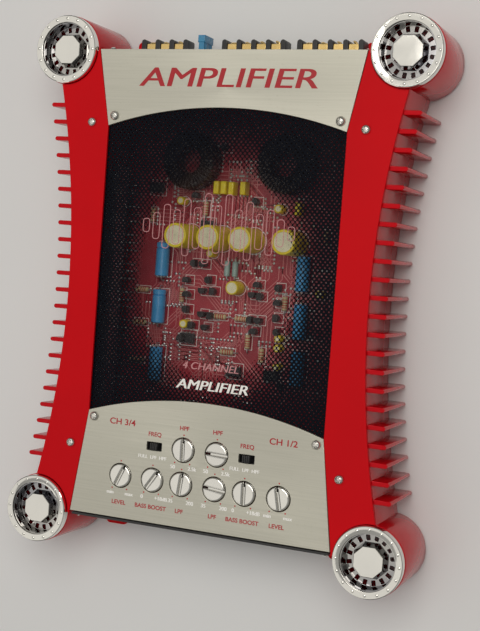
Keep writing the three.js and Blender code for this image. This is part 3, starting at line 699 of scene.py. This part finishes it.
def cap_dish():
    """The cap's parts in chrome darkened as painted shade for the hollow: the slotted dish inside the ring,
    and the hub's sides.
    """
    plug = 16.7
    dish = revolve([
        (DISH_FLOOR, CAP_BOTTOM), (plug, CAP_BOTTOM), (plug, RING_BOTTOM), (RECESS - 0.16, RING_BOTTOM),
        (RECESS - 0.2, RING_BOTTOM + 0.1), (DISH_FLOOR + 0.5, FLOOR_TOP + 1.2),
        (DISH_FLOOR, FLOOR_TOP + 0.3),
    ], 96, closed=True)
    slots = [dish_slot(number) for number in range(CAP_SLOTS)]
    dish.add(prism(circle(0, 0, DISH_FLOOR + 0.4, 96), CAP_BOTTOM, FLOOR_TOP, 0.12, slots))
    top_radius, base_radius = hub_radii()
    face_bottom = HUB_TOP - HUB_FACE
    return dish.add(revolve([
        (0, FLOOR_TOP - 0.5), (base_radius, FLOOR_TOP - 0.5), (top_radius, face_bottom), (0, face_bottom),
    ], HUB_SIDES), turn=180 / HUB_SIDES)


def make_caps():
    ring, dish = cap_ring(), cap_dish()
    for name in ("left_terminal", "right_terminal", "left_control", "right_control"):
        x, y, _ = centre(f"cap_{name}")
        piece(f"{name}_cap", Solid().add(ring, x, y), CHROME, [f"cap_{name}"])
        piece(f"{name}_cap_dish", Solid().add(dish, x, y), CHROME_PAINTED_SHADE, [f"cap_{name}"])


# ---- screws

def screw_head(radius, height, cross):
    """A domed head with a cross-shaped recess pressed into it; its base is at 0."""
    rings, steps = 14, 64
    arm_half, arm_slope = cross * 0.17, cross * 0.08
    arm_reach, end_slope = cross * 0.55, cross * 0.16
    depth = 0.6 * height
    points = []
    for ring in range(rings + 1):
        out = ring / rings
        for x, y in circle(0, 0, max(out, 0.004) * radius, steps):
            z = height * (1 - out ** 2.6) ** 0.6 if out < 1 else 0.0
            narrow, wide = sorted((abs(x), abs(y)))
            arm = min(max((arm_half - narrow) / arm_slope + 1, 0), 1)
            end = min(max((arm_reach - wide) / end_slope, 0), 1)
            points.append((x, y, z - depth * arm * end))
    faces = []
    for ring in range(rings):
        for step in range(steps):
            after = (step + 1) % steps
            inner, outer = ring * steps, (ring + 1) * steps
            faces.append((inner + step, outer + step, outer + after, inner + after))
    faces.append(tuple(range(steps)))
    faces.append(tuple(range(rings * steps + steps - 1, rings * steps - 1, -1)))
    return Solid(points, faces)


def make_top_screws():
    head = screw_head(*SCREW_HEAD)
    shank_top = DECK + FIT + 0.2
    shank = revolve([(0, 38), (1.3, 38.4), (1.3, shank_top), (0, shank_top)], 16)
    for side in ("left", "right"):
        for kind in ("cover_screw", "plate_screw"):
            for number in (1, 2):
                node = f"{side}_{kind}_{number}"
                x, y, _ = centre(node)
                turn = (x * 7 + y * 3) % 90
                screw = Solid().add(head, x, y, DECK + FIT, turn=turn).add(shank, x, y)
                piece(f"{node}_pan", screw, SCREW_STEEL, [node])


# ---- knobs and switches

KNOBS = [
    f"{bank}_{use}" for bank in ("rear", "front") for use in ("level", "bass", "lowpass", "highpass")
]
SWITCHES = ("rear", "front")


def knob():
    """A slotted knob round its own axis, its pointer's deep notch at +Y."""
    face, radius, half_slot = DECK + 1.0, 7.4, 0.6
    skirt, shaft_end = 45.2, 40.4
    slot_floor = face - 1.6
    notch_depth = 3.2
    side = math.degrees(math.acos(half_slot / radius))
    rim = arc(0, 0, radius, 180 - side, 360 + side, 72)
    notched = rim + [(half_slot, radius - notch_depth), (-half_slot, radius - notch_depth)]
    made = prism(notched, skirt, slot_floor, 0.15)
    half = prism(arc(0, 0, radius, -side, side, 40), slot_floor - 0.6, face, 1.05, (), 5)
    made.add(half)
    made.add(half, turn=180)
    shaft = [(0, shaft_end), (2.7, shaft_end), (3, shaft_end + 0.4), (3, skirt + 0.1), (0, skirt + 0.1)]
    return made.add(revolve(shaft, 24))


def make_knobs():
    shape = knob()
    for joint in frame["joints"]:
        if joint["type"] != "hinge":
            continue
        name = joint["name"].removesuffix("_turn")
        x, y, _ = [value / MM for value in joint["pos_m"]]
        twelve_oclock = (joint["range_deg"][0] + joint["range_deg"][1]) / 2
        solid = Solid().add(shape, x, y, turn=-twelve_oclock)
        piece(f"{name}_dial", solid, CHROME, [f"{name}_knob"], f"{name}_knob_body")


def make_switches():
    """Each slider is a low block with four ridges across it."""
    ridges, ridge_half, ridge_height = 4, 0.4, 0.7
    for name in SWITCHES:
        node = f"{name}_filter_slider"
        low, high = corners(node)
        slider = slab(low[0], high[0], low[1], high[1], low[2], high[2] - ridge_height, 0.2)
        for ridge in range(ridges):
            x = low[0] + (high[0] - low[0]) * (ridge + 0.5) / ridges
            slider.add(slab(x - ridge_half, x + ridge_half, low[1], high[1], high[2] - 1.0, high[2], 0.2))
        piece(f"{node}_tip", slider, BLACK_PLASTIC, [node], f"{node}_body")


# ---- terminals and fuse

BLOCKS = (("power_terminal_block", 3), ("left_speaker_block", 4), ("right_speaker_block", 4))
POLE_PITCH = 10.0
BARRIER = 3.4


def block_outline(low, high, face, poles):
    """A barrier block from above: a wall each side of every pole, rounded at its end."""
    outline = [(low[0], low[1]), (high[0], low[1])]
    for barrier in range(poles, -1, -1):
        left = low[0] + barrier * POLE_PITCH
        right = left + BARRIER
        outline.append((right, face))
        outline += arc((left + right) / 2, high[1] - BARRIER / 2, BARRIER / 2, 0, 180, 10)
        outline.append((left, face))
    return outline


def pole_contact(x, face, low, high, screw, roll):
    """One pole's bent gold plate, with its screw."""
    half = 3.1
    middle = (low + high) / 2
    metal = slab(x - half, x + half, face - 0.2, face + 1.0, low + 0.8, high - 1.2, 0.15)
    metal.add(slab(x - half, x + half, face + 0.5, face + 7.2, high - 2.2, high - 1.1, 0.25))
    metal.add(slab(x - half, x + half, face + 6.2, face + 7.3, middle - 3.6, high - 1.2, 0.25))
    metal.add(screw, x, face + 7.2, middle, tilt=-90, roll=roll)
    return metal.add(revolve([(0, 0), (1.7, 0), (1.7, 7), (0, 7)], 16), x, face, middle, tilt=-90)


def make_terminal_blocks():
    screw = screw_head(3.1, 1.7, 3.6)
    for node, poles in BLOCKS:
        low, high = corners(node)
        face = low[1] + 13.0
        body = prism(block_outline(low, high, face, poles), low[2], high[2], 0.3)
        piece(f"{node}_body", body, BLACK_PLASTIC, [node])
        metal = Solid()
        for pole in range(poles):
            x = low[0] + BARRIER + POLE_PITCH * pole + (POLE_PITCH - BARRIER) / 2
            metal.add(pole_contact(x, face, low[2], high[2], screw, 20 * pole))
        piece(f"{node}_contacts", metal, GOLD)


def make_fuse():
    low, high = corners("blade_fuse")
    back = low[1] + 4.0
    middle_x, middle_z = (low[0] + high[0]) / 2, (low[2] + high[2]) / 2
    body = slab(low[0] + 0.5, high[0] - 0.5, back, high[1] - 4.2, low[2] + 0.4, high[2] - 0.4, 0.4)
    body.add(slab(low[0], high[0], high[1] - 4.6, high[1], low[2], high[2], 0.5))
    for side in SIDES:
        z = middle_z + 3.5 * side
        body.add(slab(low[0] + 0.1, high[0] - 0.1, back + 2, high[1] - 4, z - 0.5, z + 0.5, 0.2))
    piece("blade_fuse_body", body, FUSE_BLUE, ["blade_fuse"], "fuse_body")
    blades = Solid()
    for bottom in (low[2] + 0.5, high[2] - 5.1):
        blades.add(slab(middle_x - 0.4, middle_x + 0.4, low[1], back + 1, bottom, bottom + 4.6, 0.15))
    piece("blade_fuse_blades", blades, TINNED, (), "fuse_body")


# ---- end panels and sockets

JACKS = ("rear_input_jacks", "front_input_jacks")
JACK_HALF_PITCH = 7
JACK_HEIGHT = 20


def opening(node):
    """A hole in an end panel for a part that passes through it, in X and Z."""
    low, high = corners(node)
    return box_outline(low[0] - FIT, high[0] + FIT, low[2] - FIT, high[2] + FIT)


def end_panel(end, holes):
    """A black end wall from its outline in X and Z."""
    low, high = corners(f"{end}_panel")
    outline = box_outline(low[0], high[0], low[2], high[2])
    panel = Solid().add(prism(outline, -high[1], -low[1], 0.2, holes), tilt=90)
    piece(f"{end}_sheet", panel, BLACK_STEEL, [f"{end}_panel"])


def make_end_panels():
    end_panel("terminal_end", [opening(node) for node in [name for name, _ in BLOCKS] + ["fuse_holder"]])
    holes = [opening("remote_level_port")]
    for node in JACKS:
        x = centre(node)[0]
        holes += [circle(x + side * JACK_HALF_PITCH, JACK_HEIGHT, 4.55) for side in SIDES]
    end_panel("control_end", holes)

    screws = Solid()
    head = screw_head(*SCREW_HEAD)
    for x in (-85.0, 85.0):
        for z in (8.0, 44.0):
            screws.add(head, x, PANEL_OUTER, z, tilt=-90, roll=x + z)
            screws.add(head, x, -PANEL_OUTER, z, tilt=90, roll=x - z)
    piece("end_panel_screws", screws, SCREW_STEEL)


def make_jacks():
    front = -PANEL_OUTER + 1.5 + FIT
    for node in JACKS:
        low, high = corners(node)
        x = (low[0] + high[0]) / 2
        housing = slab(low[0], high[0], front, high[1], low[2], high[2], 0.4)
        piece(f"{node}_housing", housing, BLACK_PLASTIC, [node])
        reach = front - low[1]
        barrel = revolve([
            (3.0, 0), (4.1, 0), (4.1, reach - 0.5), (3.8, reach), (3.2, reach), (3.0, reach - 0.3),
        ], 40, closed=True)
        inner = revolve([(1.5, 0), (3.0, 0), (3.0, reach - 2.2), (1.5, reach - 2.2)], 32, closed=True)
        barrels = Solid()
        for side, colour, name in ((-1, WHITE_PLASTIC, "white"), (1, SIGNAL_RED, "red")):
            place = (x + JACK_HALF_PITCH * side, front, JACK_HEIGHT)
            barrels.add(barrel, *place, tilt=90)
            piece(f"{node}_{name}_insert", Solid().add(inner, *place, tilt=90), colour)
        piece(f"{node}_barrels", barrels, GOLD)


# ---- inside the window

BOARD_MARKS = Solid()


def mark_outline(outer, inner):
    """A printed white line on the main board, between two outlines of the same part's place."""
    BOARD_MARKS.add(prism(outer, BOARD_TOP, BOARD_TOP + LAYER, 0, [inner]))


def mark_box(x, y, half_x, half_y):
    """A printed rectangle round a part that lies within the given half sizes."""
    inner, outer = (
        box_outline(x - half_x - reach, x + half_x + reach, y - half_y - reach, y + half_y + reach)
        for reach in (0.6, 0.95)
    )
    mark_outline(outer, inner)


def mark_ring(x, y, radius):
    mark_outline(circle(x, y, radius + 0.85, 40), circle(x, y, radius + 0.5, 40))


def notched_outline(low, high, notch_x, notch_y, radius):
    """The main board from above, with a round notch at each pillar that crosses its long edges."""
    opening = math.degrees(math.acos((high[0] - notch_x) / radius))
    right = []
    for y in sorted(notch_y):
        right += arc(notch_x, y, radius, -opening, opening - 360, 24)
    left = [(-x, y) for x, y in reversed(right)]
    return [(low[0], low[1]), (high[0], low[1])] + right + [(high[0], high[1]), (low[0], high[1])] + left


def make_boards():
    low, high = corners("main_board")
    notch_x, upper_y, _ = centre("right_plate_screw_1")
    lower_y = centre("right_plate_screw_2")[1]
    notch_radius = 4.2
    stand_x, stand_y, stand_hole = 64.5, -108, 3.6
    outline = notched_outline(low, high, notch_x, (upper_y, lower_y), notch_radius)
    stand_holes = [circle(side * stand_x, stand_y, stand_hole, 24) for side in SIDES]
    board = prism(outline, low[2], high[2], 0.1, stand_holes)
    piece("main_board_sheet", board, BOARD, ["main_board"])
    piece("control_board_sheet", node_slab("control_board", 0.1), BOARD,
          ["control_board"])


STRIP_FACES = ((3, 2, 1, 0), (4, 5, 6, 7), (0, 1, 5, 4), (1, 2, 6, 5), (2, 3, 7, 6), (3, 0, 4, 7))


def track_strip(x0, y0, x1, y1, half):
    """A straight piece of track from one point to another."""
    length = math.hypot(x1 - x0, y1 - y0)
    nx, ny = -(y1 - y0) / length * half, (x1 - x0) / length * half
    sides = ((x0 - nx, y0 - ny), (x1 - nx, y1 - ny), (x1 + nx, y1 + ny), (x0 + nx, y0 + ny))
    heights = (BOARD_TOP - LAYER, BOARD_TOP + LAYER / 2)
    return Solid([(x, y, z) for z in heights for x, y in sides], STRIP_FACES)


def bundle_paths(draw, grid):
    """The paths of one bundle of parallel tracks, each with one diagonal jog."""
    x, y = draw.randint(-50, 50) * grid, draw.randint(-60, 80) * grid
    before, jog, after = (draw.randint(3, 14) * grid for _ in range(3))
    lean = draw.choice((-1, 1))
    upright = draw.random() < 0.6
    run = [(0, 0), (before, 0), (before + jog, lean * jog), (before + jog + after, lean * jog)]
    paths = []
    for line in range(draw.randint(1, 5)):
        shift = line * 2 * grid
        path = [(x + along, y + aside + shift) for along, aside in run]
        if upright:
            path = [(x + aside + shift, y + along) for along, aside in run]
        paths.append(path)
    return paths


def make_tracks():
    """Bundles of copper tracks on a fine grid, with a soldered pad at each end."""
    draw = random.Random(11)
    bundles, grid, half = 150, 1.27, 0.26
    reach_x, reach_y = 72, 108
    tracks, pads = Solid(), Solid()
    pad = revolve([(0, -0.05), (0.9, -0.05), (0.85, 0.12), (0.4, 0.45), (0, 0.55)], 10)
    for _ in range(bundles):
        for path in bundle_paths(draw, grid):
            if any(abs(x) > reach_x or abs(y) > reach_y for x, y in path):
                continue
            for start, end in zip(path, path[1:]):
                tracks.add(track_strip(*start, *end, half))
            for end in (path[0], path[-1]):
                pads.add(pad, *end, BOARD_TOP)
    piece("board_tracks", tracks, TRACK)
    piece("board_pads", pads, TINNED)


def make_filter_capacitors():
    for number in (1, 2, 3, 4):
        node = f"filter_capacitor_{number}"
        x, y, _ = centre(node)
        low, high = corners(node)
        radius = (high[1] - low[1]) / 2
        rim = radius - 1.6
        sleeve = revolve([
            (0, low[2]), (radius - 0.5, low[2]), (radius, low[2] + 0.5), (radius, low[2] + 2.2),
            (radius - 0.5, low[2] + 2.8), (radius, low[2] + 3.4), (radius, high[2] - 0.9),
            (radius - 0.35, high[2] - 0.2), (radius - 1.0, high[2]), (rim, high[2] - 0.05),
            (rim - 0.1, high[2] - 0.4), (0, high[2] - 0.4),
        ], 48)
        piece(f"{node}_sleeve", Solid().add(sleeve, x, y), YELLOW, [node])
        top = revolve([(0, high[2] - 0.39), (rim - 0.1, high[2] - 0.39), (rim - 0.2, high[2] - 0.25),
                       (0, high[2] - 0.22)], 48)
        lid = Solid().add(top, x, y)
        for turn in (0, 60, 120):
            lid.add(slab(-0.25, 0.25, -rim * 0.8, rim * 0.8, 0, 0.12, 0.05), x, y, high[2] - 0.25, turn)
        piece(f"{node}_lid", lid, CAN_LID)
        mark_ring(x, y, radius)


def make_toroids():
    """Wound cores: a dark ring wrapped in turns of enamelled wire."""
    inner, core_gap, wire_radius, turns = 8.0, 1.6, 0.75, 44

    def section(outer, half, gap):
        """The core's cross-section, pulled in by a gap."""
        return box_outline(inner + gap, outer - gap, -half + gap, half - gap)

    for node in ("left_toroid", "right_toroid"):
        place = centre(node)
        low, high = corners(node)
        outer, half = (high[1] - low[1]) / 2, (high[2] - low[2]) / 2
        core = revolve(section(outer, half, core_gap), 48, closed=True)
        loop = [(x, 0.0, z) for x, z in filleted(section(outer, half, wire_radius), 2.6, 3)]
        ring = wire(loop + loop[:1], wire_radius, 6)
        coil = Solid().add(core, *place)
        for turn in range(turns):
            coil.add(ring, *place, turn=turn * 360 / turns)
        piece(f"{node}_winding", coil, WINDING, [node])


def axial_can(length, radius, crimped):
    """A sleeved part lying along Y, which may have a crimp near one end."""
    half = length / 2
    profile = [(0, -half), (radius - 0.5, -half), (radius, -half + 0.5)]
    if crimped:
        profile += [(radius, half - 4.2), (radius - 0.6, half - 3.6), (radius, half - 3.0)]
    profile += [(radius, half - 0.5), (radius - 0.5, half), (0, half)]
    return Solid().add(revolve(profile, 28), tilt=-90)


def lead_pair(length, height):
    """Two wires that leave an axial part's ends and turn down into the board."""
    half = length / 2
    leads = Solid()
    for side in SIDES:
        leads.add(wire([
            (0, side * (half - 0.5), 0), (0, side * (half + 1.8), 0),
            (0, side * (half + 2.6), -0.8), (0, side * (half + 2.6), -height),
        ], 0.4))
    return leads


def lay_axial(bodies, leads, spots, length, radius, height, turn=0, crimped=False, marked=True):
    """Axial parts in their places on the board, with their leads and printed outlines."""
    for x, y in spots:
        place = (x, y, BOARD_TOP + height, turn)
        bodies.add(axial_can(length, radius, crimped), *place)
        leads.add(lead_pair(length, height), *place)
        if marked:
            mark_box(x, y, *((length / 2, radius) if turn else (radius, length / 2)))


BLUE_SPOTS = ((-51.5, 19), (-52.0, -12), (-51.6, -50), (47.2, 16), (47.6, -14), (48.0, -44))
TEAL_SPOTS = ((-5.8, 16), (-0.3, 16))
RESISTORS_ALONG_X = (
    (-8.7, -15.4), (6.6, -15.7), (-66.1, -1.9), (-66.2, -23.6), (-66.8, -48.7), (-2, -38),
)
RESISTORS_ALONG_Y = (
    (-36.8, -3.5), (35.5, -3.5), (-24, 54), (22, -38), (60, 40), (-62, 48), (12, -30),
)


def make_axial_parts():
    """Sleeved capacitors and resistors that lie flat on the board."""
    blue, teal, beige, bands, leads = Solid(), Solid(), Solid(), Solid(), Solid()
    lay_axial(blue, leads, BLUE_SPOTS, 22, 4.4, 4.5, crimped=True)
    lay_axial(teal, leads, TEAL_SPOTS, 10, 1.9, 2.1, marked=False)
    height = 2.0
    colour_bands = Solid()
    for along in (-2.6, -1.2, 0.4, 2.4):
        band = revolve([(0, -0.3), (1.73, -0.3), (1.73, 0.3), (0, 0.3)], 20)
        colour_bands.add(band, 0, along, 0, tilt=-90)
    for spots, turn in ((RESISTORS_ALONG_X, 90), (RESISTORS_ALONG_Y, 0)):
        lay_axial(beige, leads, spots, 9, 1.7, height, turn)
        for x, y in spots:
            bands.add(colour_bands, x, y, BOARD_TOP + height, turn)
    piece("blue_axial_capacitors", blue, BLUE)
    piece("teal_resistors", teal, TEAL)
    piece("beige_resistors", beige, BEIGE)
    piece("resistor_bands", bands, SIGNAL_RED)
    piece("axial_leads", leads, TINNED)


SMALL_CANS = (
    # x, y, radius, height
    (2.3, 4, 4.4, 12), (-32, -22, 2.8, 8), (-16.5, 25, 2.5, 8), (28.9, 56, 2.8, 9),
    (34.4, -26, 2.4, 8), (34.4, -32, 2.4, 8), (34.7, -44, 2.4, 8), (-40, 58, 2.6, 8), (60, 4, 2.6, 8),
)
BOX_SPOTS = ((-15.2, 67.6), (-10.2, 67.8), (-4.7, 67.5), (3.4, 67.9), (41.7, 56.6))
TRANSISTOR_SPOTS = (
    (-32.6, 6.7), (-17.1, 7.8), (-20.7, 0.5), (-13.6, 0.5), (-31.9, -2.6), (-31.7, -12.4),
    (-20.1, -14.7), (-14.1, -15.3), (17.3, 7.1), (31.7, 6.1), (14.4, 0.5), (19.6, -0.2),
    (31.9, -3.4), (14, -15.6), (19.7, -15.6), (31.5, -13), (16.8, -22.8), (32.8, -21.9),
    (-17.1, -23.1), (-27, -22.5), (-33.8, -31.2), (-28.1, 17.9), (-21.5, 17.8), (12, 60), (-30, 62),
    (38, -56), (24, 88), (-12, 94),
)
CHIPS = ((-30.5, -31.2, 10), (30, -50, 10), (4, -50, 10), (-22, 43, 9), (-60, 66, 10))   # x, y, length


def make_small_cans():
    cans, lids = Solid(), Solid()
    for x, y, radius, height in SMALL_CANS:
        low, high = BOARD_TOP + 0.3, BOARD_TOP + height
        cans.add(revolve([
            (0, low), (radius - 0.3, low), (radius, low + 0.3), (radius, high - 0.5),
            (radius - 0.3, high - 0.05), (radius - 0.8, high), (radius - 0.9, high - 0.3), (0, high - 0.3),
        ], 28), x, y)
        lids.add(revolve([
            (0, high - 0.28), (radius - 0.95, high - 0.28), (radius - 0.95, high - 0.22), (0, high - 0.2),
        ], 28), x, y)
        mark_ring(x, y, radius)
    piece("yellow_cans", cans, YELLOW)
    piece("can_lids", lids, CAN_LID)


def make_box_capacitors():
    boxes = Solid()
    for x, y in BOX_SPOTS:
        boxes.add(slab(x - 1.9, x + 1.9, y - 4.2, y + 4.2, BOARD_TOP + 0.3, BOARD_TOP + 8.6, 0.9))
    piece("box_capacitors", boxes, YELLOW)


def chip_leg(x, side):
    """One leg of a chip: out of its side and down into the board."""
    return wire([(x, side * 2.8, 2.4), (x, side * 3.8, 2.2), (x, side * 3.9, 0)], 0.3)


def make_black_parts():
    """Small transistors and chips, with their legs."""
    black, legs = Solid(), Solid()
    half_moon = [(-2.4, -1.7), (2.4, -1.7), (2.4, 0.4), (1.2, 2.0), (-1.2, 2.0), (-2.4, 0.4)]
    transistor = prism(filleted(half_moon, 0.6), 3.0, 8.0, 0.2)
    for number, (x, y) in enumerate(TRANSISTOR_SPOTS):
        turn = 90 * (number % 4)
        black.add(transistor, x, y, BOARD_TOP, turn)
        mark_box(x, y, 2.4, 2.4)
        for offset in (-1.27, 0, 1.27):
            legs.add(wire([(offset, 0, 0), (offset, 0, 3.2)], 0.28), x, y, BOARD_TOP, turn)
    for x, y, length in CHIPS:
        black.add(slab(-length / 2, length / 2, -3.1, 3.1, 0.8, 4.2), x, y, BOARD_TOP)
        mark_box(x, y, length / 2, 4.4)
        for pin in range(4):
            for side in SIDES:
                legs.add(chip_leg((pin - 1.5) * 2.54, side), x, y, BOARD_TOP)
    piece("small_transistors", black, BLACK_PLASTIC)
    piece("part_legs", legs, TINNED)


def make_board_marks():
    piece("board_marks", BOARD_MARKS, WHITE_INK)


def make_power_transistors():
    """Black flat packages held on the heatsinks by the clamp bars, and their bent leads."""
    count, pitch, half, lead_pitch = 8, 19.0, 7.6, 5.0
    bottom, top = 19.0, 35.5
    inner = corners("right_clamp_bar")[1][0]
    bends = ((inner + 2.2, 19.4), (inner + 1.4, 17.0), (74.5, 16.2), (73.0, 13.5))
    bodies, leads = Solid(), Solid()
    for number in range(count):
        y = (number - (count - 1) / 2) * pitch
        box = slab(inner + 0.15, SINK_INNER - FIT, y - half, y + half, bottom, top, 0.4)
        for turn in (0, 180):
            bodies.add(box, turn=turn)
            for pin in (-1, 0, 1):
                leads.add(wire([(x, y + pin * lead_pitch, z) for x, z in bends], 0.55), turn=turn)
    piece("power_transistors", bodies, BLACK_PLASTIC)
    piece("power_transistor_leads", leads, TINNED)


def make_clamp_bars():
    for node in ("left_clamp_bar", "right_clamp_bar"):
        piece(f"{node}_body", node_slab(node, 0.4), ALUMINIUM, [node])


# ---- printing

def lettering(words, size, bold=0.0, italic=0.0):
    """Plain words as a thin flat solid, centred on the origin."""
    curve = bpy.data.curves.new("words", "FONT")
    curve.body = words
    curve.size = size * MM
    curve.align_x = "CENTER"
    curve.align_y = "CENTER"
    curve.offset = bold * MM
    curve.shear = italic
    curve.extrude = 0.01 * MM
    return solid_from(curve)


def widened(solid, factor):
    return Solid([(x * factor, y, z) for x, y, z in solid.points], solid.faces)


def heavy_lettering(words, size, factor, stroke, italic=0.0):
    """Wide letters whose upright strokes are thickened by layers set side by side."""
    letter = widened(lettering(words, size, 0.0, italic), factor)
    made = Solid()
    for layer in range(3):
        made.add(letter, (layer - 1) * stroke, 0, layer * LAYER)
    return made


CAPTIONS = {
    # the word at a knob, and what stands at its two ends
    "level": ("LEVEL", "min", "max"),
    "bass": ("BASS BOOST", "0", "+18dB"),
    "lowpass": ("LPF", "35", "200"),
    "highpass": ("HPF", "50", "2.5k"),
}


def make_plate_printing():
    red, white, dots = Solid(), Solid(), Solid()
    top = DECK + 0.02
    red.add(heavy_lettering("AMPLIFIER", 17.0, 1.55, 0.4, 0.15), 0, 132.5, top)
    for name in KNOBS:
        x, y, _ = centre(f"{name}_knob")
        use = name.split("_")[1]
        word, least, most = CAPTIONS[use]
        word_y = y + 13.6 if use == "highpass" else y - 17.2
        red.add(widened(lettering(word, 3.7, 0.09), 1.05), x, word_y, top)
        white.add(heavy_lettering(least, 3.4, 1.0, 0.2), x - 6.4, y - 11.2, top)
        white.add(heavy_lettering(most, 3.4, 1.0, 0.2), x + 7.0, y - 11.2, top)
        for dx, dy in ((0, 9.5), (-5.2, -8.3), (5.2, -8.3)):
            dots.add(prism(circle(x + dx, y + dy, 0.5, 12), DECK, top))
    for name in SWITCHES:
        x, y, _ = centre(f"{name}_filter_slider")
        red.add(widened(lettering("FREQ", 3.7, 0.09), 1.05), x, y + 7.6, top)
        for offset, word in ((-7.4, "FULL"), (0, "LPF"), (6.6, "HPF")):
            white.add(heavy_lettering(word, 3.1, 1.0, 0.18), x + offset, y - 7.0, top)
    for x, word in ((-55, "CH 3/4"), (55, "CH 1/2")):
        red.add(widened(lettering(word, 5.4, 0.1), 1.15), x, -86.5, top)
    piece("red_printing", red, RED_INK)
    piece("white_printing", white, WHITE_INK)
    piece("dial_dots", dots, SIGNAL_RED)


def make_window_printing():
    """A plain sound wave in outline, and a generic description under it."""
    top = corners("window")[1][2]
    pitch, half, line, wave_y = 7.0, 2.5, 0.5, 40.0
    heights = (9, 17, 28, 22, 36, 26, 44, 30, 44, 26, 36, 22, 28, 17, 9)
    pink = Solid()
    for number, height in enumerate(heights):
        x = (number - (len(heights) - 1) / 2) * pitch
        outer, inner = (
            filleted(box_outline(
                x - half + inset, x + half - inset,
                wave_y - height / 2 + inset, wave_y + height / 2 - inset,
            ), corner, 5)
            for inset, corner in ((0.0, 2.4), (line, 1.7))
        )
        pink.add(prism(outer, top, top + LAYER, 0, [inner]))
    pink.add(heavy_lettering("4 CHANNEL", 6.4, 1.1, 0.15, 0.2), 2, -46, top + LAYER)
    piece("window_wave_printing", pink, PINK_INK)
    white = heavy_lettering("AMPLIFIER", 8.6, 1.25, 0.3, 0.2)
    piece("window_word_printing", Solid().add(white, 4, -58, top + LAYER), WHITE_INK)


# ---- looks of the kept CAD nodes

def dress_kept_nodes():
    for node, thing in frame["nodes"].items():
        if node.endswith(("potentiometer", "switch_body")) or node in ("fuse_holder", "remote_level_port"):
            thing.data.materials.clear()
            thing.data.materials.append(BLACK_PLASTIC)


# ---- studio

def make_floor():
    size, height = 3.0, -0.0005
    mesh = bpy.data.meshes.new("floor")
    mesh.from_pydata([(x, y, height) for x, y in box_outline(-size, size, -size, size)], [], [(0, 1, 2, 3)])
    look = Look("floor", (0.80, 0.81, 0.83), 0.7)
    mesh.materials.append(look.tint(look.noise(3, 3), (0.77, 0.78, 0.80)).material)
    link("floor", mesh)


def make_world():
    """A plain pale room, brighter overhead than at the horizon."""
    bpy.context.scene.view_settings.view_transform = "Standard"
    world = bpy.data.worlds.new("studio")
    bpy.context.scene.world = world
    world.use_nodes = True
    nodes, links = world.node_tree.nodes, world.node_tree.links
    background = nodes["Background"]
    background.inputs["Color"].default_value = (0.95, 0.93, 0.88, 1)
    direction = nodes.new("ShaderNodeTexCoord")
    parts = nodes.new("ShaderNodeSeparateXYZ")
    brighter_above = nodes.new("ShaderNodeMapRange")
    for socket, value in (("From Min", 0.05), ("From Max", 0.8), ("To Min", 0.09), ("To Max", 0.34)):
        brighter_above.inputs[socket].default_value = value
    links.new(direction.outputs["Generated"], parts.inputs[0])
    links.new(parts.outputs["Z"], brighter_above.inputs["Value"])
    links.new(brighter_above.outputs["Result"], background.inputs["Strength"])


def make_lights():
    for name, place, aim, width, power in (
        ("key", (0.42, 0.6, 1.75), (0.05, 0, 0), 1.2, 15),
        ("overhead", (-0.75, 0.15, 1.5), (0, 0, 0), 1.6, 3.6),
        ("front", (-1.1, -1.2, 0.9), (0, 0, 0), 1.0, 2),
    ):
        data = bpy.data.lights.new(name, "AREA")
        data.shape = "SQUARE"
        data.size = width
        data.energy = power
        data.color = (1, 0.96, 0.88)
        lamp = link(name, data)
        lamp.location = place
        away = Vector([a - b for a, b in zip(place, aim)])
        lamp.rotation_euler = away.to_track_quat("Z", "Y").to_euler()


def make_camera():
    """Looking down along the case from its right, with the terminals at the top."""
    data = bpy.data.cameras.new("camera")
    camera = link("camera", data)
    right = (0.9208, 0.0727, -0.3831)
    up = (-0.0837, 0.9964, -0.0122)
    back = (0.3809, 0.0433, 0.9236)
    place = (0.3125, 0.0214, 0.7602)
    camera.matrix_world = Matrix([*zip(right, up, back, place), (0, 0, 0, 1)])
    focal_pixels, image_height = 1250, 631
    data.sensor_width = 36
    data.lens = data.sensor_width * focal_pixels / image_height
    data.clip_start = 0.01
    bpy.context.scene.camera = camera


for make in (
    make_camera, make_floor, make_world, make_lights,
    make_heatsinks, make_side_covers, make_silver_plates, make_window, make_bottom_plate, make_caps,
    make_top_screws, make_knobs, make_switches, make_terminal_blocks, make_fuse, make_end_panels,
    make_jacks, make_boards, make_tracks, make_filter_capacitors, make_toroids, make_axial_parts,
    make_small_cans, make_box_capacitors, make_black_parts, make_board_marks,
    make_power_transistors, make_clamp_bars, make_plate_printing,
    make_window_printing, dress_kept_nodes,
):
    make()
